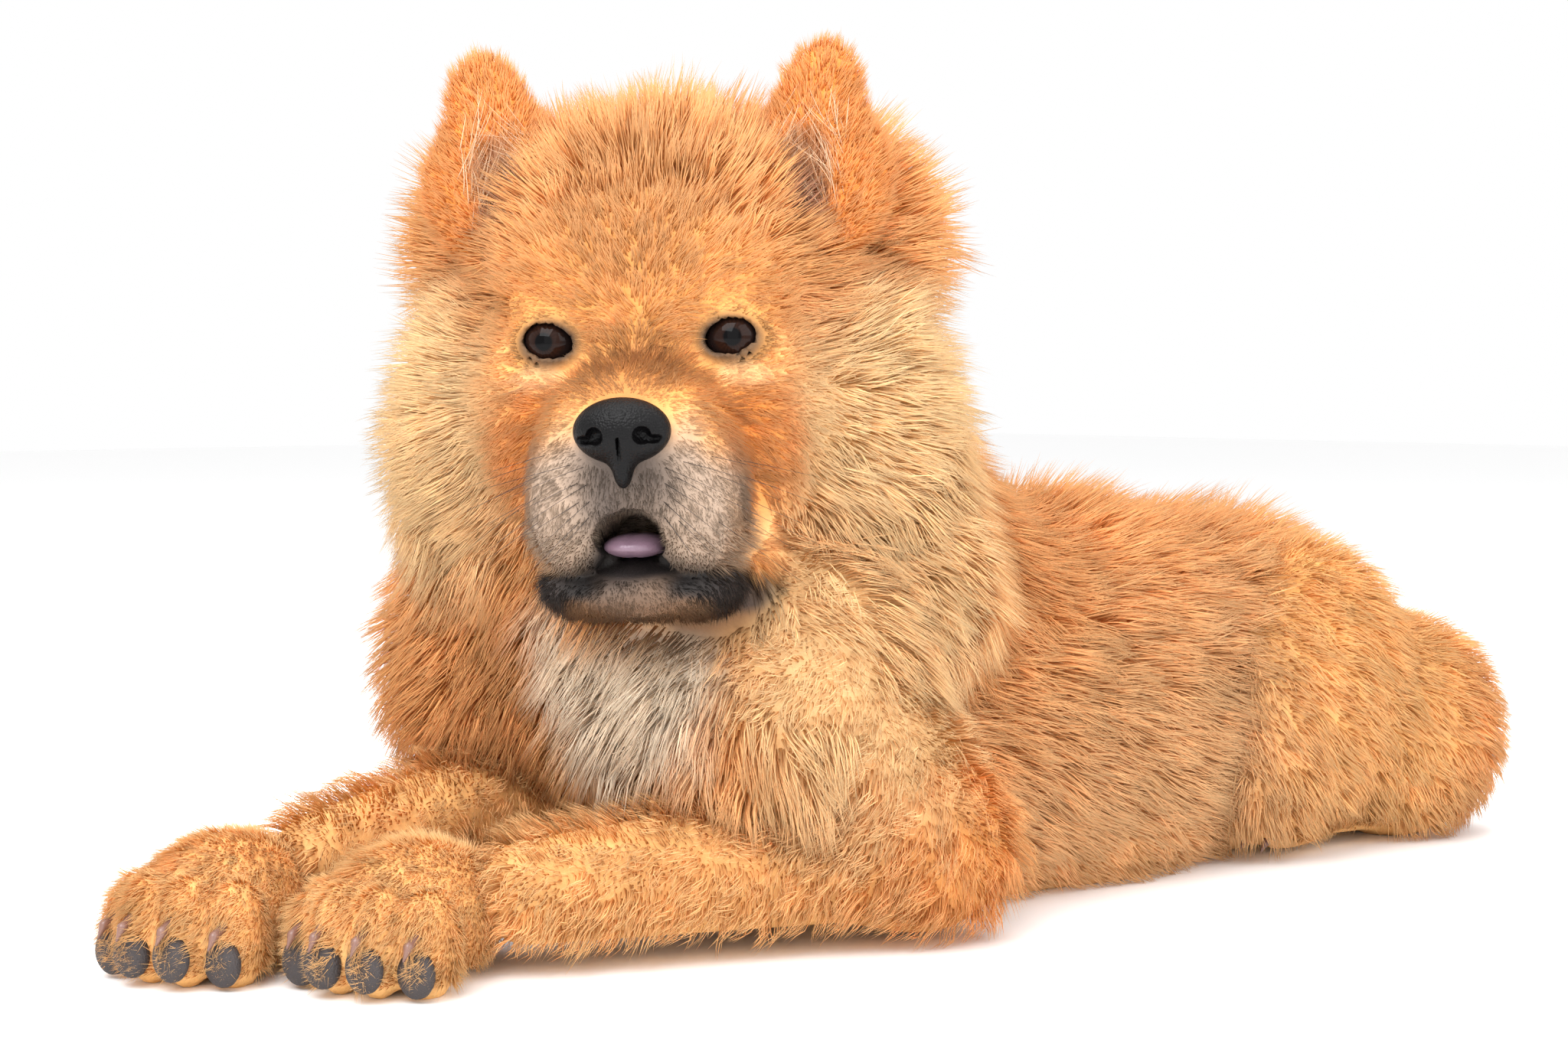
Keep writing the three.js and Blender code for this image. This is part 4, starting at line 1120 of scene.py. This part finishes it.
def long_hairs(name, root, way, length, wide, bend, colour, slot, material):
    """Single long hairs that bend, each a strand of several rings, as one piece."""
    n = len(root)
    way = unit(way)
    aim = root + way * length[:, None] + bend
    across = unit(np.cross(way, DOWN + 0.01))
    up = unit(np.cross(across, way))
    straight = np.zeros((n, 1))
    wide = np.full(n, wide)
    corners, along = strands(
        root, up, way, length, wide, (4, -4), HAIR_RINGS, aim, 1.0, straight, np.zeros(n)
    )
    colours = np.tile(colour, (n, 1))
    uvs = unwrapped("head", root)
    strand_pieces(name, corners, along, colours, uvs, HAIR_RINGS, slot, material)


def make_whiskers(material):
    """Rows of dark whiskers on the muzzle, set on its surface."""
    roots, ways = [], []
    for s in SIDES.values():
        for row in range(WHISKER["rows"]):
            for k in range(WHISKER["rows"]):
                roots.append((s * (13 + 4.2 * k), -76 + 5.2 * k, -50 - 5.0 * row))
                ways.append((s * (0.8 + 0.25 * k), -0.55 + 0.3 * k, -0.15 - 0.2 * row))
    n = len(roots)
    root = np.array(roots, dtype=float) + RNG.normal(0, 0.5, (n, 3))
    for _ in range(4):
        g = slopes(head_field, root)
        off = (head_field(root) + WHISKER["root_under"])[:, None]
        root = root - off * g / (g * g).sum(1, keepdims=True)
    length = RNG.uniform(*WHISKER["long"], n)
    bend = RNG.normal(0, 1.5, (n, 3)) + np.array((0, 0, WHISKER["sag"]))
    root, way = moved_by(HEAD, root), turned_by(HEAD, np.array(ways))
    long_hairs("whiskers", root, way, length, WHISKER["wide"], bend, WHISKER_TONE, "mask_coat", material)


def make_ear_wisps(material):
    """Pale hairs that cross the cups of the ears, most from the inner edge."""
    n = WISP["count"]
    for side, s in SIDES.items():
        edge = RNG.uniform(-1, 1, n)
        inner = RNG.random(n) < WISP["inner_share"]
        x = np.where(inner, -s * 12, s * 11) + RNG.normal(0, 2, n)
        y = -7 + RNG.normal(0, 1.2, n)
        root = np.stack([x, y, -10 + 17 * edge], axis=1)
        across = np.where(inner, s * 0.7, -s * 0.5) + RNG.normal(0, 0.2, n)
        ahead = -0.25 + RNG.normal(0, 0.15, n)
        way = np.stack([across, ahead, 0.8 + RNG.normal(0, 0.2, n)], axis=1)
        length = RNG.uniform(*WISP["long"], n)
        bend = RNG.normal(0, 1.5, (n, 3))
        root, way = moved_by(EARS[side], root), turned_by(EARS[side], way)
        name = "ear_wisps_" + side
        long_hairs(name, root, way, length, WISP["wide"], bend, WISP_TONE, "cream_coat", material)


# Feet

PAD = {"size": (6.6, 4, 7.8), "ahead": 10.2, "under": 6, "lowest": 8.0, "step": 1.3}
CLAW = {"front": 7.5, "hind": 8, "root_in": 3, "radii": (1.8, 1.4, 0.3), "step": 0.8}
CLAW_WAY = (0, -0.82, -0.5)
CLAW_ON_TOE = {"ahead": 11.5, "over": 4.5}
HIND_CLAW_AT = {"ahead": 22, "arc": 0.35, "height": 9}
TOE_SPREAD = 1.1
HIND_TOES = (-13, -4.5, 4.5, 13)


def joined(forms):
    """Closed forms as one list of places and one of faces."""
    verts, faces, count = [], [], 0
    for v, f in forms:
        verts.append(v)
        faces.append(f + count)
        count += len(v)
    return np.concatenate(verts), np.concatenate(faces)


def pad_form(frame_of, at):
    return grown(ball(at, PAD["size"]), at, np.array(PAD["size"]) + 1.5, PAD["step"], frame_of)


def claw_form(frame_of, length):
    """A curved claw that tapers to its tip and stays over the floor."""
    at = np.array(frame_of.translation)
    way = np.array(frame_of.to_3x3() @ Vector(CLAW_WAY))
    root = at - way * CLAW["root_in"]
    middle = at + way * length * 0.5 + np.array((0, 0, 0.8))
    tip = at + way * length + DOWN * 1.5
    thick, half, thin = CLAW["radii"]
    field = melt([bar(root, middle, thick, half), bar(middle, tip, half, thin)], 1)
    low, high = np.minimum(root, tip) - 3, np.maximum(root, tip) + 3
    verts, faces = surface(field, [np.arange(a, b, CLAW["step"]) for a, b in zip(low, high)])
    verts[:, 2] = np.maximum(verts[:, 2], 0.1)
    return verts, faces


def make_feet(pad_material, claw_material):
    """The pads at the front of the front paws' toes and the claws of every foot."""
    pads, claws = [], []
    for paw in PAWS.values():
        for x, y, z in TOES:
            x = x * TOE_SPREAD
            pads.append(pad_form(paw, (x, y - PAD["ahead"], max(z - PAD["under"], PAD["lowest"]))))
            claw_at = moved(x, y - CLAW_ON_TOE["ahead"], z + CLAW_ON_TOE["over"])
            claws.append(claw_form(paw @ claw_at, CLAW["front"]))
    for leg in HINDLEG.values():
        way = Vector(leg["toe"]) - Vector(leg["heel"])
        foot = moved(*leg["toe"][:2], 0) @ turned("Z", math.degrees(math.atan2(way.x, -way.y)))
        for x in HIND_TOES:
            claw_at = moved(x, abs(x) * HIND_CLAW_AT["arc"] - HIND_CLAW_AT["ahead"], HIND_CLAW_AT["height"])
            claws.append(claw_form(foot @ claw_at, CLAW["hind"]))
    mesh_piece("pads", *joined(pads), "nose_leather", pad_material)
    mesh_piece("claws", *joined(claws), "mask_coat", claw_material)


# Studio

# Each light: its name, azimuth, elevation, distance, size and power, turned to the middle of the animal
LIGHTS = (
    ("key_light", 20, 48, 1.6, 1.2, 26),
    ("fill_light", 105, 30, 1.8, 1.4, 14),
    ("top_light", 210, 70, 1.8, 1.5, 22),
    ("front_light", 48, 22, 2.4, 2.2, 12),
)
LIT_PLACE = (0, 60, 100)
FLOOR_REACH = 6.0
FLOOR_TONE = (0.96, 0.96, 0.96, 1)


def make_camera():
    """The photograph's own view."""
    data = bpy.data.cameras.new("camera")
    camera = bpy.data.objects.new("camera", data)
    bpy.context.collection.objects.link(camera)
    pitch = math.degrees(math.atan((PHOTO[1] / 2 - CAMERA["horizon"]) / CAMERA["lens"]))
    stand = moved(*world(CAMERA["at"]))
    camera.matrix_world = stand @ turned("Z", CAMERA["azimuth"]) @ turned("X", 90 - pitch)
    data.sensor_width = FILM_WIDTH
    data.lens = CAMERA["lens"] / PHOTO[0] * FILM_WIDTH
    data.clip_start = CAMERA["nearest"]
    bpy.context.scene.camera = camera


def area_light(name, azimuth, elevation, distance, size, power):
    data = bpy.data.lights.new(name, "AREA")
    data.size = size
    data.energy = power
    light = bpy.data.objects.new(name, data)
    bpy.context.collection.objects.link(light)
    way = turned("Z", azimuth) @ turned("X", 90 - elevation)
    light.matrix_world = moved(*world(LIT_PLACE)) @ way @ moved(0, 0, distance)


def floor_paint():
    material = bpy.data.materials.new("floor_paint")
    material.use_nodes = True
    shader = material.node_tree.nodes["Principled BSDF"]
    shader.inputs["Base Color"].default_value = FLOOR_TONE
    shader.inputs["Roughness"].default_value = 0.7
    return material


def make_studio():
    """A pale floor, soft area lights and an even white surround."""
    mesh = bpy.data.meshes.new("floor")
    corners = [(x * FLOOR_REACH, y * FLOOR_REACH, 0) for x, y in ((-1, -1), (1, -1), (1, 1), (-1, 1))]
    mesh.from_pydata(corners, [], [(0, 1, 2, 3)])
    floor = bpy.data.objects.new("studio_floor", mesh)
    bpy.context.collection.objects.link(floor)
    floor.data.materials.append(floor_paint())
    for light in LIGHTS:
        area_light(*light)
    bpy.context.scene.view_settings.view_transform = "Standard"
    surround = bpy.data.worlds.new("studio")
    bpy.context.scene.world = surround
    surround.use_nodes = True
    background = surround.node_tree.nodes["Background"]
    background.inputs["Color"].default_value = (1, 1, 1, 1)
    background.inputs["Strength"].default_value = 1.0


# The whole animal

# The nodes that the skin replaces
FLESH = ["head", "neck", "torso", "tail", "lower_jaw"]
PAIRS = ("ear", "foreleg", "paw_front", "thigh", "hind_foot")
FLESH += [f"{part}_{side}" for part in PAIRS for side in SIDES]

# Low and high ends of the skin's grid along each axis, and of its fine stretch over the head
SKIN_GRID = ((-130, 130, -72, 98), (-280, 340, -196, -30), (-4, 300, 108, 310))
SKIN_SHADE = 0.92  # the skin is a little darker than the strands over it


def make_animal():
    verts, quads = surface(skin_field, [axis_of(*ends) for ends in SKIN_GRID])
    verts[:, 2] = np.maximum(verts[:, 2], 0.0)
    hide = material_of("skin", 0.7, (700, 0.3), bump=(900, 0.5, False))
    skin = mesh_piece("skin", verts, quads, "coat", hide, markings(verts) * SKIN_SHADE)
    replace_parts(skin, *FLESH)
    grow_coat(verts, quads, material_of("fur", 0.62, (260, 0.2), specular=0.25, through=0.34))
    eye = eye_material()
    for side in EYES:
        make_eye(side, eye)
    black, violet = tone(8, 7, 8), tone(112, 88, 102)
    leather = material_of("nose_leather", 0.38, (900, 0.5), black, specular=0.16, bump=(1300, 0.35, True))
    make_nose(leather)
    make_tongue(material_of("tongue", 0.4, (500, 0.3), violet, bump=(2200, 0.3, False), coat=0.2))
    hair = material_of("hair", 0.5, (100, 0.1))
    make_whiskers(hair)
    make_ear_wisps(hair)
    pad = material_of("pad_skin", 0.7, (400, 0.5), tone(58, 52, 52), bump=(1400, 0.4, True))
    horn = material_of("claw_horn", 0.35, (300, 0.3), tone(122, 88, 76), coat=0.3)
    make_feet(pad, horn)


make_animal()
make_camera()
make_studio()
